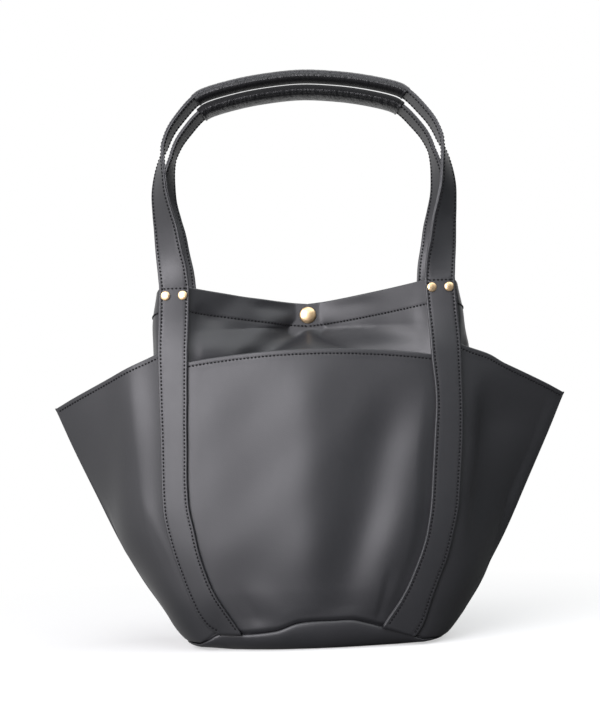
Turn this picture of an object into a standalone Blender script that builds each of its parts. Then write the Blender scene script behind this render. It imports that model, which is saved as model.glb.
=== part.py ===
"""Tote bag with an outer skirt of open pockets, four sewn straps and two wrapped handles.

Metres, +Z up, +X to the bag's right in the front view, -Y to the front.
The origin lies on the ground, under the middle of the base.
"""

import math

import bmesh
import bpy
from mathutils import Vector

# Overall sizes
MOUTH_HEIGHT = 0.318
MOUTH_DIP = 0.0144
BODY_DEPTH = 0.128
MAIN_DEPTH = 0.141
MAIN_WIDTH = 0.282
WING_SPAN = 0.455
WING_TIP_HEIGHT = 0.2155
WING_ROOT_HEIGHT = 0.262
POCKET_HEIGHT = 0.261
POCKET_ARCH = 0.008
POCKET_CROWN = 0.0095

# Base
RIM_FRONT_HEIGHT = 0.019
RIM_STRAP_HEIGHT = 0.015
RIM_SIDE_HEIGHT = 0.0125
BASE_THICKNESS = 0.0016
BASE_FLAT_SHARE = 0.75
BOARD_THICKNESS = 0.002
BOARD_SHARE = 0.72

# Sheet thicknesses
SKIRT_THICKNESS = 0.0014
MAIN_THICKNESS = 0.0013
LINING_THICKNESS = 0.0006
HEM_THICKNESS = 0.0024
HEM_HEIGHT = 0.020

# Straps
STRAP_WIDTH = 0.025
STRAP_THICKNESS = 0.003
STRAP_SPREAD = 0.238

# Handles and grips
HANDLE_RISE = 0.182
HANDLE_SPREAD = 0.2515
HANDLE_LEAN = 0.006
GRIP_HALF_LENGTH = 0.094
GRIP_WALL = 0.0013
GRIP_PAD_THICKNESS = 0.0054
GRIP_PAD_WIDTH = 0.022
GRIP_SEAM_GAP = 0.0008

# Rivets
RIVET_RADIUS = 0.004
RIVET_DOME = 0.0021
RIVET_POST_RADIUS = 0.0013
RIVET_BACK_RADIUS = 0.0036
RIVET_BACK_THICKNESS = 0.0011
RIVET_SPACING = 0.0150
RIVET_DROP = 0.006

# Snap
SNAP_RADIUS = 0.0075
SNAP_DOME = 0.0028
SNAP_DROP = 0.0112
SNAP_POST_RADIUS = 0.0015
SNAP_SOCKET_RADIUS = 0.0060
SNAP_SOCKET_BORE = 0.0025
SNAP_STUD_RADIUS = 0.0052
SNAP_STUD_BALL = 0.0018
SNAP_PLATE_THICKNESS = 0.0011
LIP_HALF_GAP = 0.0022

# Clearances
FIT = 0.0003
SEAM_GAP = 0.0005
LAYER_GAP = 0.0005
BUTT_GAP = 0.0020
LINING_GAP = 0.0022
HOLE_CLEARANCE = 0.0004
HINGE_HEIGHT = 0.0025
HINGE_RELIEF = 0.0004
CUTTER_LENGTH = 0.020
MERGE = 0.00002

# Shapes along the height: (share of the mouth's height, share of the size)
STRAP_LINE_SHARES = [
    (0.0, 0.55), (0.049, 0.62), (0.15, 0.765), (0.21, 0.829), (0.305, 0.908),
    (0.41, 0.97), (0.56, 0.99), (0.67, 1.0), (0.81, 0.995), (1.0, 0.972),
]
DEPTH_SHARES = [
    (0.0, 0.87), (0.06, 0.90), (0.17, 0.97), (0.33, 1.0), (0.6, 0.985), (0.8, 0.945),
    (0.93, 0.875), (1.0, 0.875),
]
CROWN_SHARES = [(0.0, 0.75), (0.06, 0.8), (0.3, 1.0), (0.6, 0.97), (0.82, 0.9), (0.93, 0.0), (1.0, 0.0)]
CENTRE_SHARES = [
    (0.06, 0.925), (0.12, 0.95), (0.19, 0.965), (0.38, 0.93), (0.57, 0.86), (0.69, 0.76),
    (0.77, 0.60), (0.825, 0.38), (0.86, 0.13), (0.882, 0.0),
]
SIDE_SHARES = [(0.04, 0.0), (0.15, 0.35), (0.35, 0.68), (0.6, 0.9), (0.85, 1.0), (1.0, 0.64)]
CREASE_SHARES = [(0.3, 2.0), (0.65, 2.0), (0.9, 1.15), (1.0, 1.15)]
SNAP_FLAT_SHARE = 0.1
LINING_CORNER_SHARE = 2.8
LAYER_CLOSE_SHARES = (0.85, 0.93)
SLOPE_STEP_SHARE = 0.01
MOUTH_CURVE_SHARE = 1.2

# Wing outline and roundness: (share of the tip's height, share of the size)
WING_EDGE_SHARES = [
    (0.0, 0.455), (0.07, 0.528), (0.17, 0.597), (0.27, 0.672), (0.33, 0.706),
    (0.43, 0.757), (0.63, 0.845), (0.84, 0.936), (1.0, 1.0),
]
WING_ROUND_SHARES = [(0.0, 0.9), (0.06, 0.9), (0.28, 0.6), (0.6, 0.3), (1.0, 0.1)]
SIDE_ROUND_SHARE = 0.9

# Handle line: (share of the rise, share of the way out from the mouth's strap line to the widest
# place), then (share of the rise, share of half the spread), and the share of a quarter turn
HANDLE_LEG_SHARES = [(0.0, 0.0), (0.08, 0.13), (0.17, 0.36), (0.27, 0.56), (0.352, 0.80), (0.446, 1.0)]
HANDLE_ARCH_SHARES = [
    (0.54, 0.993), (0.62, 0.976), (0.70, 0.948), (0.765, 0.908), (0.83, 0.84), (0.885, 0.765),
    (0.925, 0.68), (0.962, 0.48), (0.987, 0.26), (1.0, 0.0),
]
HANDLE_TWIST_SHARES = [
    (0.0, 0.0), (0.08, 0.13), (0.17, 0.29), (0.27, 0.39), (0.352, 0.5), (0.446, 0.62), (0.539, 0.75),
    (0.62, 0.9), (0.67, 1.0),
]
PAD_START_SHARE = 0.3
HANDLE_STEP_SHARE = 0.001
HALVINGS = 40

# Grids
ACROSS_SHARES = [0.0, 0.1, 0.28, 0.48, 0.68, 0.86, 1.0]
UP_SHARES = [0.0, 0.06, 0.16, 0.29, 0.43, 0.57, 0.71, 0.84, 0.93, 1.0]
TALL_SHARES = [0.0, 0.05, 0.14, 0.27, 0.42, 0.57, 0.70, 0.80, 0.87, 0.93, 0.97, 1.0]
AROUND_SHARES = [0.0, 0.12, 0.28, 0.46, 0.66, 0.85, 1.0]
HEM_SHARES = [0.0, 0.5, 1.0]
STRAP_END_SHARES = [0.35, 0.7, 1.0]
DISH_ANGLES = [0, 30, 55, 75, 90]
LINING_DISH_ANGLES = [0, 50, 90]
TURNED_STEPS = 12
RIM_STEPS = 5
LEG_STEPS = 24
GRIP_STEPS = 8

FRONT = -1.0
BACK = 1.0

# Colours, roughness and metallic of the finishes
CHARCOAL_PU = ((0.035, 0.036, 0.038, 1.0), 0.55, 0.0)
BLACK_GRIP = ((0.012, 0.012, 0.013, 1.0), 0.42, 0.0)
GREY_LINING = ((0.09, 0.09, 0.095, 1.0), 0.85, 0.0)
FIBRE_BOARD = ((0.16, 0.12, 0.09, 1.0), 0.8, 0.0)
GREY_FOAM = ((0.2, 0.2, 0.2, 1.0), 0.9, 0.0)
ANTIQUE_BRASS = ((0.33, 0.24, 0.13, 1.0), 0.35, 1.0)


def clear_scene():
    """Empty the file of its default objects."""
    for thing in list(bpy.data.objects):
        bpy.data.objects.remove(thing)


def new_collection(name):
    """Make a collection under the scene's own."""
    collection = bpy.data.collections.new(name)
    bpy.context.scene.collection.children.link(collection)
    return collection


def finish(name, look):
    """Make a Principled BSDF material from a colour, a roughness and a metallic value."""
    colour, roughness, metallic = look
    material = bpy.data.materials.new(name)
    material.use_nodes = True
    shader = material.node_tree.nodes["Principled BSDF"]
    shader.inputs["Base Color"].default_value = colour
    shader.inputs["Roughness"].default_value = roughness
    shader.inputs["Metallic"].default_value = metallic
    return material


def smooth(value):
    """Ease from 0 to 1."""
    value = min(max(value, 0.0), 1.0)
    return value * value * (3.0 - 2.0 * value)


def follow(shares, place):
    """Read a smooth curve that never overshoots its (place, value) shares."""
    if place <= shares[0][0]:
        return shares[0][1]
    if place >= shares[-1][0]:
        return shares[-1][1]
    spans = list(zip(shares, shares[1:]))
    slopes = [(high[1] - low[1]) / (high[0] - low[0]) for low, high in spans]

    def tangent(point):
        if point == 0 or point == len(spans):
            return slopes[min(point, len(spans) - 1)]
        before, after = slopes[point - 1], slopes[point]
        if before * after <= 0.0:
            return 0.0
        return 2.0 * before * after / (before + after)

    index = next(number for number, span in enumerate(spans) if place <= span[1][0])
    low, high = spans[index]
    width = high[0] - low[0]
    share = (place - low[0]) / width
    rise = smooth(share)
    start = share * (1.0 - share) ** 2 * width * tangent(index)
    end = -share * share * (1.0 - share) * width * tangent(index + 1)
    return low[1] + (high[1] - low[1]) * rise + start + end


def strap_centre(height):
    """Half the distance between the two strap lines at a height."""
    return STRAP_SPREAD / 2 * follow(STRAP_LINE_SHARES, height / MOUTH_HEIGHT)


def strap_half_run(height):
    """Half the strap's width, measured level where the strap leans."""
    step = MOUTH_HEIGHT * SLOPE_STEP_SHARE
    slope = (strap_centre(height + step) - strap_centre(height - step)) / (2 * step)
    return STRAP_WIDTH / 2 * math.hypot(1.0, slope)


def body_depth(height):
    """Half the depth of the outer skin at the strap line."""
    return BODY_DEPTH / 2 * follow(DEPTH_SHARES, height / MOUTH_HEIGHT)


def crown(height):
    """How far the skirt's middle stands in front of the strap's inner edge."""
    return POCKET_CROWN * follow(CROWN_SHARES, height / MOUTH_HEIGHT)


def plan_slope(height):
    """Slope of the strap's plane in plan, tangent to the crowned panel beside it."""
    return 2 * crown(height) / (strap_centre(height) - strap_half_run(height))


def skin_point(across, height):
    """Outer skin, right front quarter.

    across is 0 at the middle, and 1, 2 and 3 at the strap's inner edge, line and outer edge.
    """
    line, run = strap_centre(height), strap_half_run(height)
    inner = line - run
    slope = plan_slope(height)
    if across <= 1.0:
        reach = body_depth(height) + slope * run + crown(height) * (1.0 - across * across)
        return Vector((inner * across, -reach, height))
    shift = run * (across - 2.0)
    return Vector((line + shift, -body_depth(height) + slope * shift, height))


def rim_height(across):
    """Height of the base seam from the middle of the front to the strap."""
    return RIM_FRONT_HEIGHT - (RIM_FRONT_HEIGHT - RIM_STRAP_HEIGHT) * smooth(across)


def level(low, high, share):
    """Height at a share of the way between two heights."""
    return low + (high - low) * share


def bent(start, end, roundness, share):
    """Point on a curve that leaves start level with the front and meets end from the front."""
    middle = (start + end) / 2
    corner = Vector((end.x, start.y, middle.z))
    handle = middle.lerp(corner, roundness)
    return start.lerp(handle, share).lerp(handle.lerp(end, share), share)


def wing_point(around, up):
    """Wing skin from the strap's outer edge, around 0, to the outer fold, around 1."""
    root = skin_point(3.0, level(RIM_STRAP_HEIGHT, WING_ROOT_HEIGHT, up))
    height = level(RIM_SIDE_HEIGHT, WING_TIP_HEIGHT, up)
    share = height / WING_TIP_HEIGHT
    fold = Vector((WING_SPAN / 2 * follow(WING_EDGE_SHARES, share), 0.0, height))
    return bent(root, fold, follow(WING_ROUND_SHARES, up), around)


def layer_step(height):
    """Depth of the main bag's face behind the skin: one skirt layer, closing up above the pockets."""
    low, high = LAYER_CLOSE_SHARES
    closing = smooth((height / MOUTH_HEIGHT - low) / (high - low))
    return (SKIRT_THICKNESS + LAYER_GAP) * (1.0 - closing)


def mouth_height(across):
    """Height of the mouth's edge, lowest at the snap."""
    return MOUTH_HEIGHT - MOUTH_DIP * (1.0 - min(across, 1.0)) ** MOUTH_CURVE_SHARE


def main_front_point(across, height):
    """Outer face of the main bag's front, pulled back to the closed lips at its top."""
    if across > 1.0:
        point = skin_point(across, height)
        return point + Vector((0.0, layer_step(height), 0.0))
    edge = skin_point(1.0, height)
    edge_reach = -edge.y - layer_step(height)
    lip_reach = LIP_HALF_GAP + HEM_THICKNESS
    middle_reach = level(lip_reach, MAIN_DEPTH / 2, follow(CENTRE_SHARES, height / MOUTH_HEIGHT))
    bend = follow(CREASE_SHARES, height / MOUTH_HEIGHT)
    share = max(0.0, (across - SNAP_FLAT_SHARE) / (1.0 - SNAP_FLAT_SHARE)) ** bend
    return Vector((edge.x * across, -level(middle_reach, edge_reach, share), height))


def main_side_point(around, up, lift, top):
    """Side of the main bag, from the strap's outer edge round to the middle."""
    height = level(RIM_STRAP_HEIGHT + lift, top, up)
    root = skin_point(3.0, height)
    side_height = level(RIM_SIDE_HEIGHT + lift, top - RIVET_DROP * up, up)
    base_half = wing_point(1.0, 0.0).x
    half = level(base_half, MAIN_WIDTH / 2, follow(SIDE_SHARES, side_height / MOUTH_HEIGHT))
    return bent(root, Vector((half, 0.0, side_height)), SIDE_ROUND_SHARE, around)


def inset(surface, column, up, distance):
    """Point of a surface, moved inward along the surface's own normal."""
    step = SLOPE_STEP_SHARE
    if column < step:
        along_u = surface(column + step, up) - surface(column, up)
    else:
        along_u = surface(column, up) - surface(column - step, up)
    if up + step > 1.0:
        along_v = surface(column, up) - surface(column, up - step)
    else:
        along_v = surface(column, up + step) - surface(column, up)
    return surface(column, up) - along_u.cross(along_v).normalized() * distance


def sheet(name, columns, rows, place, thickness, look, collection, side=FRONT, outward=False,
          mirror=None, left=False, keep=None):
    """Loft an open grid through place(column, row), give it a thickness, and name it.

    The grid is worked out for the right front quarter. side=BACK turns it to the back and
    left=True to the left, and mirror joins it to its twin across "X" or "Y".
    """
    mesh = bpy.data.meshes.new(name)
    form = bmesh.new()
    grid = [[form.verts.new(place(column, row)) for column in columns] for row in rows]
    for row in range(len(rows) - 1):
        for column in range(len(columns) - 1):
            if keep is None or keep(column, row):
                form.faces.new((
                    grid[row][column], grid[row][column + 1],
                    grid[row + 1][column + 1], grid[row + 1][column],
                ))
    loose = [vert for vert in form.verts if not vert.link_faces]
    bmesh.ops.delete(form, geom=loose, context="VERTS")
    turned = False
    if side == BACK:
        for vert in form.verts:
            vert.co.y = -vert.co.y
        turned = not turned
    if left:
        for vert in form.verts:
            vert.co.x = -vert.co.x
        turned = not turned
    if turned:
        bmesh.ops.reverse_faces(form, faces=form.faces[:])
    form.to_mesh(mesh)
    form.free()
    mesh.shade_smooth()
    mesh.materials.append(finish(name, look))
    piece = bpy.data.objects.new(name, mesh)
    collection.objects.link(piece)
    if mirror:
        twin = piece.modifiers.new("twin", "MIRROR")
        twin.use_axis = (mirror == "X", mirror == "Y", False)
        twin.merge_threshold = MERGE
    wall = piece.modifiers.new("wall", "SOLIDIFY")
    wall.thickness = thickness
    wall.offset = 1.0 if outward else -1.0
    wall.use_even_offset = True
    return piece


def cut_hole(piece, radius, place, cutters):
    """Bore a round hole front to back through a piece."""
    name = piece.name + "_hole_" + str(len(cutters.objects))
    bpy.ops.mesh.primitive_cylinder_add(
        vertices=TURNED_STEPS, radius=radius, depth=CUTTER_LENGTH, location=place,
        rotation=(math.pi / 2, 0.0, 0.0),
    )
    cutter = bpy.context.object
    cutter.name = name
    for holder in list(cutter.users_collection):
        holder.objects.unlink(cutter)
    cutters.objects.link(cutter)
    cutter.hide_render = True
    cutter.display_type = "WIRE"
    bore = piece.modifiers.new(name, "BOOLEAN")
    bore.operation = "DIFFERENCE"
    bore.solver = "EXACT"
    bore.object = cutter


def turned_piece(name, profile, place, side, look, collection):
    """Turn a (radius, height) profile, top to bottom, and stand it out from a face."""
    mesh = bpy.data.meshes.new(name)
    points = [(radius, 0.0, height) for radius, height in profile]
    mesh.from_pydata(points, [(low, low + 1) for low in range(len(points) - 1)], [])
    mesh.materials.append(finish(name, look))
    piece = bpy.data.objects.new(name, mesh)
    collection.objects.link(piece)
    spin = piece.modifiers.new("turn", "SCREW")
    spin.angle = 2 * math.pi
    spin.steps = TURNED_STEPS
    spin.render_steps = TURNED_STEPS
    spin.use_merge_vertices = True
    spin.merge_threshold = MERGE
    piece.location = place
    piece.rotation_euler = (-side * math.pi / 2, 0.0, 0.0)
    return piece


def rim_ring():
    """Outline of the base seam, all the way round, as points of the outer skin."""
    front = [skin_point(step / 4, rim_height(step / 4)) for step in range(4)]
    strap = [skin_point(across, RIM_STRAP_HEIGHT) for across in (1.0, 3.0)]
    end = [wing_point(step / RIM_STEPS, 0.0) for step in range(1, RIM_STEPS + 1)]
    quarter = front + strap + end
    back = [Vector((point.x, -point.y, point.z)) for point in reversed(quarter[:-1])]
    half = quarter + back
    other = [Vector((-point.x, point.y, point.z)) for point in reversed(half[1:-1])]
    return half + other


def dish(name, angles, narrowing, floor, rise, thickness, look, collection):
    """A shallow dish: a flat floor that turns up to the base seam."""
    outline = rim_ring()
    half_length = max(point.x for point in outline)
    half_depth = max(point.y for point in outline)
    mesh = bpy.data.meshes.new(name)
    form = bmesh.new()

    def ring(angle):
        share = level(BASE_FLAT_SHARE, 1.0, math.sin(math.radians(angle)))
        lift = 1.0 - math.cos(math.radians(angle))
        points = []
        for point in outline:
            x = point.x * share * (half_length - narrowing) / half_length
            y = point.y * share * (half_depth - narrowing) / half_depth
            points.append(form.verts.new((x, y, level(floor, point.z + rise, lift))))
        return points

    rings = [ring(angle) for angle in angles]
    form.faces.new(rings[0])
    for inner, outer in zip(rings, rings[1:]):
        for index in range(len(inner)):
            after = (index + 1) % len(inner)
            form.faces.new((inner[index], outer[index], outer[after], inner[after]))
    bmesh.ops.recalc_face_normals(form, faces=form.faces[:])
    if sum(face.normal.z * face.calc_area() for face in form.faces) > 0.0:
        bmesh.ops.reverse_faces(form, faces=form.faces[:])
    form.to_mesh(mesh)
    form.free()
    mesh.materials.append(finish(name, look))
    piece = bpy.data.objects.new(name, mesh)
    collection.objects.link(piece)
    wall = piece.modifiers.new("wall", "SOLIDIFY")
    wall.thickness = thickness
    wall.offset = -1.0
    return piece


def plate(name, share, bottom, thickness, look, collection):
    """A flat plate with the base's outline."""
    mesh = bpy.data.meshes.new(name)
    form = bmesh.new()
    outline = [form.verts.new((point.x * share, point.y * share, bottom)) for point in rim_ring()]
    face = form.faces.new(outline)
    face.normal_update()
    if face.normal.z > 0.0:
        face.normal_flip()
    form.to_mesh(mesh)
    form.free()
    mesh.materials.append(finish(name, look))
    piece = bpy.data.objects.new(name, mesh)
    collection.objects.link(piece)
    wall = piece.modifiers.new("wall", "SOLIDIFY")
    wall.thickness = thickness
    wall.offset = -1.0
    return piece


def hang(piece, origin):
    """Put a moving piece's origin on its joint's axis without moving its surface."""
    shift = Vector(origin)
    for vert in piece.data.vertices:
        vert.co -= shift
    piece.location = piece.location + shift


def hinge_origin(side):
    """Middle of the line that a handle folds about, just outside the strap's face."""
    return (0.0, side * (strap_face(MOUTH_HEIGHT) + FIT), hinge_height())


def snap_origin(side):
    """Middle of the snap on the inner face of a lip."""
    return (0.0, side * LIP_HALF_GAP, snap_height())


def side_name(side):
    """Word for the front or the back."""
    return "front" if side == FRONT else "back"


def make_base(collection):
    """Outer base, its stiffening board and the lining's own base."""
    dish("base_panel", DISH_ANGLES, 0.0, 0.0, 0.0, BASE_THICKNESS, CHARCOAL_PU, collection)
    board_bottom = BASE_THICKNESS + SEAM_GAP
    plate("base_board", BOARD_SHARE, board_bottom, BOARD_THICKNESS, FIBRE_BOARD, collection)
    inner = SKIRT_THICKNESS + LAYER_GAP + MAIN_THICKNESS + LINING_GAP + LINING_THICKNESS / 2
    floor = board_bottom + BOARD_THICKNESS + SEAM_GAP
    dish(
        "lining_base_panel", LINING_DISH_ANGLES, inner, floor, SEAM_GAP, LINING_THICKNESS,
        GREY_LINING, collection,
    )


def make_pocket(side, collection):
    """Front or back pocket panel between the straps, arched at its top."""
    columns = ACROSS_SHARES + [2.0 - BUTT_GAP / STRAP_WIDTH]

    def place(across, up):
        bottom = rim_height(across) + SEAM_GAP
        top = POCKET_HEIGHT - POCKET_ARCH * min(across, 1.0) ** 2
        return skin_point(across, level(bottom, top, up))

    name = side_name(side) + "_pocket_panel"
    sheet(
        name, columns, UP_SHARES, place, SKIRT_THICKNESS, CHARCOAL_PU, collection, side,
        mirror="X",
    )


def make_wing(side, left, collection):
    """Half of a side pocket, from the strap's line to the seam at the pointed outer edge."""
    columns = [2.0 + BUTT_GAP / STRAP_WIDTH, 3.0] + [3.0 + share for share in AROUND_SHARES[1:]]

    def place(column, up):
        if column <= 3.0:
            return skin_point(column, level(RIM_STRAP_HEIGHT + SEAM_GAP, WING_ROOT_HEIGHT, up))
        point = wing_point(column - 3.0, up)
        lift = SEAM_GAP * (1.0 - up)
        sharpness = 1.0 - follow(WING_ROUND_SHARES, up)
        back_off = (FIT + SKIRT_THICKNESS * sharpness) * smooth(column - 3.0)
        return point + Vector((0.0, -back_off, lift))

    hand = "left" if left else "right"
    name = "wing_" + side_name(side) + "_" + hand
    sheet(
        name, columns, UP_SHARES, place, SKIRT_THICKNESS, CHARCOAL_PU, collection, side, left=left,
    )


def make_main_panel(side, collection, cutters):
    """Front or back of the main bag, with its middle lip left to a hem of its own."""
    columns = ACROSS_SHARES + [2.0 - BUTT_GAP / STRAP_WIDTH]
    last_low_row = len(TALL_SHARES) - 1
    rows = TALL_SHARES + [1.0 + share for share in HEM_SHARES[1:]]

    def place(across, row):
        bottom = rim_height(across) + SEAM_GAP
        seam = mouth_height(across) - HEM_HEIGHT - SEAM_GAP
        if row <= 1.0:
            return main_front_point(across, level(bottom, seam, row))
        return main_front_point(across, level(seam, mouth_height(across), row - 1.0))

    def keep(column, row):
        return row < last_low_row or columns[column] >= 1.0

    name = "main_" + side_name(side) + "_panel"
    piece = sheet(
        name, columns, rows, place, MAIN_THICKNESS, CHARCOAL_PU, collection, side,
        mirror="X", keep=keep,
    )
    for hand in (-1.0, 1.0):
        hole = rivet_place(side, hand, -1.0)
        cut_hole(piece, RIVET_POST_RADIUS + HOLE_CLEARANCE, hole, cutters)


def make_side_panel(left, collection, cutters):
    """Side of the main bag, from the front strap's line round to the back strap's."""
    columns = [2.0 + BUTT_GAP / STRAP_WIDTH, 3.0] + [3.0 + share for share in AROUND_SHARES[2:]]

    def surface(column, up):
        return main_side_point(column - 3.0, up, SEAM_GAP, MOUTH_HEIGHT)

    def place(column, up):
        if column <= 3.0:
            return main_front_point(column, level(RIM_STRAP_HEIGHT + SEAM_GAP, MOUTH_HEIGHT, up))
        point = inset(surface, column, up, layer_step(surface(column, up).z))
        return point if column < columns[-1] else Vector((point.x, 0.0, point.z))

    hand = "left" if left else "right"
    piece = sheet(
        "main_side_" + hand, columns, TALL_SHARES, place, MAIN_THICKNESS, CHARCOAL_PU, collection,
        left=left, mirror="Y",
    )
    for side in (FRONT, BACK):
        hole = rivet_place(side, -1.0 if left else 1.0, 1.0)
        cut_hole(piece, RIVET_POST_RADIUS + HOLE_CLEARANCE, hole, cutters)


def make_lining(side, collection):
    """Front or back of the lining, hung below the hem."""
    columns = ACROSS_SHARES + [LINING_CORNER_SHARE] + [3.0 + share for share in AROUND_SHARES[2::2]]
    rows = TALL_SHARES[:1] + TALL_SHARES[2:]
    lift = 3 * SEAM_GAP

    def surface(column, up):
        if column <= 3.0:
            top = mouth_height(column) - HEM_HEIGHT - lift
            return main_front_point(column, level(rim_height(column) + lift, top, up))
        return main_side_point(column - 3.0, up, lift, MOUTH_HEIGHT - HEM_HEIGHT - lift)

    def place(column, up):
        distance = MAIN_THICKNESS + LINING_GAP
        if column > 3.0:
            distance += layer_step(surface(column, up).z)
        point = inset(surface, column, up, distance)
        if column >= columns[-1]:
            point.y = -SEAM_GAP
        if column <= 0.0:
            point.x = 0.0
        return point

    name = "lining_" + side_name(side)
    sheet(
        name, columns, rows, place, LINING_THICKNESS, GREY_LINING, collection, side, mirror="X",
    )


def make_hem(side, collection, cutters):
    """Folded hem of one lip, which carries half of the snap."""
    columns = ACROSS_SHARES[:-1] + [1.0 - 2 * SEAM_GAP / strap_centre(MOUTH_HEIGHT)]

    def place(across, up):
        top = mouth_height(across)
        return main_front_point(across, level(top - HEM_HEIGHT, top, up))

    name = side_name(side) + "_hem"
    piece = sheet(
        name, columns, HEM_SHARES, place, HEM_THICKNESS, CHARCOAL_PU, collection, side, mirror="X",
    )
    hole = (0.0, side * LIP_HALF_GAP, snap_height())
    cut_hole(piece, SNAP_POST_RADIUS + HOLE_CLEARANCE, hole, cutters)
    hang(piece, snap_origin(side))


def make_strap(side, left, collection, cutters):
    """Sewn part of a strap, from the base seam to the mouth."""
    rows = UP_SHARES + [1.0 + share for share in STRAP_END_SHARES]

    def place(across, row):
        height = level(RIM_STRAP_HEIGHT + SEAM_GAP, WING_ROOT_HEIGHT, row)
        if row > 1.0:
            height = level(WING_ROOT_HEIGHT, hinge_height() - HINGE_RELIEF, row - 1.0)
        point = skin_point(across, height)
        slope = plan_slope(height)
        normal = Vector((slope, -1.0, 0.0)).normalized()
        return point + normal * SEAM_GAP

    hand = "left" if left else "right"
    name = "strap_" + side_name(side) + "_" + hand
    piece = sheet(
        name, [1.0, 2.0, 3.0], rows, place, STRAP_THICKNESS, CHARCOAL_PU, collection, side,
        outward=True, left=left,
    )
    for turn in (-1.0, 1.0):
        hole = rivet_place(side, -1.0 if left else 1.0, turn)
        cut_hole(piece, RIVET_POST_RADIUS + HOLE_CLEARANCE, hole, cutters)


def strap_face(height):
    """Depth of the strap's outer face at a height near the mouth."""
    return body_depth(height) + SEAM_GAP + STRAP_THICKNESS


def rivet_place(side, hand, turn):
    """Where a rivet's cap meets the strap.

    side is the front or the back, hand is -1 or 1 for the left or right strap, and turn is -1
    or 1 for its inner or outer rivet.
    """
    height = MOUTH_HEIGHT - RIVET_DROP
    x = hand * (strap_centre(height) + turn * RIVET_SPACING / 2)
    return (x, side * strap_face(height), height)


def rivet_profile():
    """Domed cap, post and flat back of a rivet, measured from the strap's outer face."""
    back = -(STRAP_THICKNESS + SEAM_GAP + MAIN_THICKNESS + 2 * FIT)
    bottom = back - RIVET_BACK_THICKNESS
    dome = []
    for step in range(4):
        angle = math.pi / 2 * step / 3
        dome.append((RIVET_RADIUS * math.sin(angle), 2 * FIT + (RIVET_DOME - FIT) * math.cos(angle)))
    return dome + [
        (RIVET_RADIUS, FIT), (RIVET_POST_RADIUS, FIT), (RIVET_POST_RADIUS, back),
        (RIVET_BACK_RADIUS, back), (RIVET_BACK_RADIUS, bottom), (0.0, bottom),
    ]


def make_rivets(collection):
    """Two rivets through each strap end, the main bag's hem behind them."""
    for side in (FRONT, BACK):
        for hand, hand_name in ((-1.0, "left"), (1.0, "right")):
            for turn, turn_name in ((-1.0, "inner"), (1.0, "outer")):
                name = "rivet_" + side_name(side) + "_" + hand_name + "_" + turn_name
                place = rivet_place(side, hand, turn)
                turned_piece(name, rivet_profile(), place, side, ANTIQUE_BRASS, collection)


def snap_height():
    """Height of the snap's middle."""
    return MOUTH_HEIGHT - MOUTH_DIP - SNAP_DROP


def make_snap(collection):
    """Snap closure: cap and socket on the front lip, stud and its cap on the back lip."""
    height = snap_height()
    face = LIP_HALF_GAP + HEM_THICKNESS
    post = HEM_THICKNESS
    dome = []
    for step in range(5):
        angle = math.pi / 2 * step / 4
        dome.append((SNAP_RADIUS * math.sin(angle), 3 * FIT + (SNAP_DOME - 2 * FIT) * math.cos(angle)))
    cap = dome + [
        (SNAP_RADIUS, FIT), (SNAP_POST_RADIUS, FIT), (SNAP_POST_RADIUS, -post), (0.0, -post),
    ]
    turned_piece("snap_front_cap", cap, (0.0, -face, height), FRONT, ANTIQUE_BRASS, collection)
    turned_piece("snap_back_cap", cap, (0.0, face, height), BACK, ANTIQUE_BRASS, collection)
    near = LIP_HALF_GAP - FIT
    socket = [
        (SNAP_SOCKET_BORE, near), (SNAP_SOCKET_RADIUS - SNAP_PLATE_THICKNESS, near),
        (SNAP_SOCKET_RADIUS, near - SNAP_PLATE_THICKNESS), (SNAP_SOCKET_RADIUS, FIT),
        (SNAP_SOCKET_BORE, FIT), (SNAP_SOCKET_BORE, near),
    ]
    turned_piece("snap_socket", socket, (0.0, 0.0, height), FRONT, ANTIQUE_BRASS, collection)
    plate_face = near - SNAP_PLATE_THICKNESS
    ball = plate_face + LIP_HALF_GAP - FIT
    stud = [
        (0.0, ball), (SNAP_STUD_BALL, ball - SNAP_STUD_BALL / 3), (SNAP_STUD_BALL, SNAP_PLATE_THICKNESS),
        (SNAP_STUD_RADIUS, SNAP_PLATE_THICKNESS), (SNAP_STUD_RADIUS, 0.0), (0.0, 0.0),
    ]
    turned_piece("snap_stud", stud, (0.0, near, height), FRONT, ANTIQUE_BRASS, collection)


def hinge_height():
    """Height of the line that a handle folds about, over the cross stitches."""
    return MOUTH_HEIGHT + HINGE_HEIGHT


def handle_point(share):
    """Strap line of the right half of a handle, from the hinge, share 0, to the top, share 1."""
    count = len(HANDLE_LEG_SHARES) + len(HANDLE_ARCH_SHARES) - 1
    place = share * count
    index = min(int(place), count - 1)
    near = place - index

    def knot(number):
        legs = len(HANDLE_LEG_SHARES)
        number = max(number, 0)
        side = 1.0 if number <= count else -1.0
        number = min(number, 2 * count - number)
        if number < legs:
            rise, reach = HANDLE_LEG_SHARES[number]
            x = level(strap_centre(MOUTH_HEIGHT), HANDLE_SPREAD / 2, reach)
        else:
            rise, reach = HANDLE_ARCH_SHARES[number - legs]
            x = HANDLE_SPREAD / 2 * reach
        start = hinge_height() + HINGE_RELIEF
        depth = -(strap_face(MOUTH_HEIGHT) - STRAP_THICKNESS / 2) + HANDLE_LEAN * rise
        return Vector((side * x, depth, start + HANDLE_RISE * rise))

    before, low, high, after = (knot(index + step) for step in (-1, 0, 1, 2))
    square, cube = near * near, near ** 3
    return (low * 2 + (high - before) * near
            + (before * 2 - low * 5 + high * 4 - after) * square
            + (low * 3 - before - high * 3 + after) * cube) / 2


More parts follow.
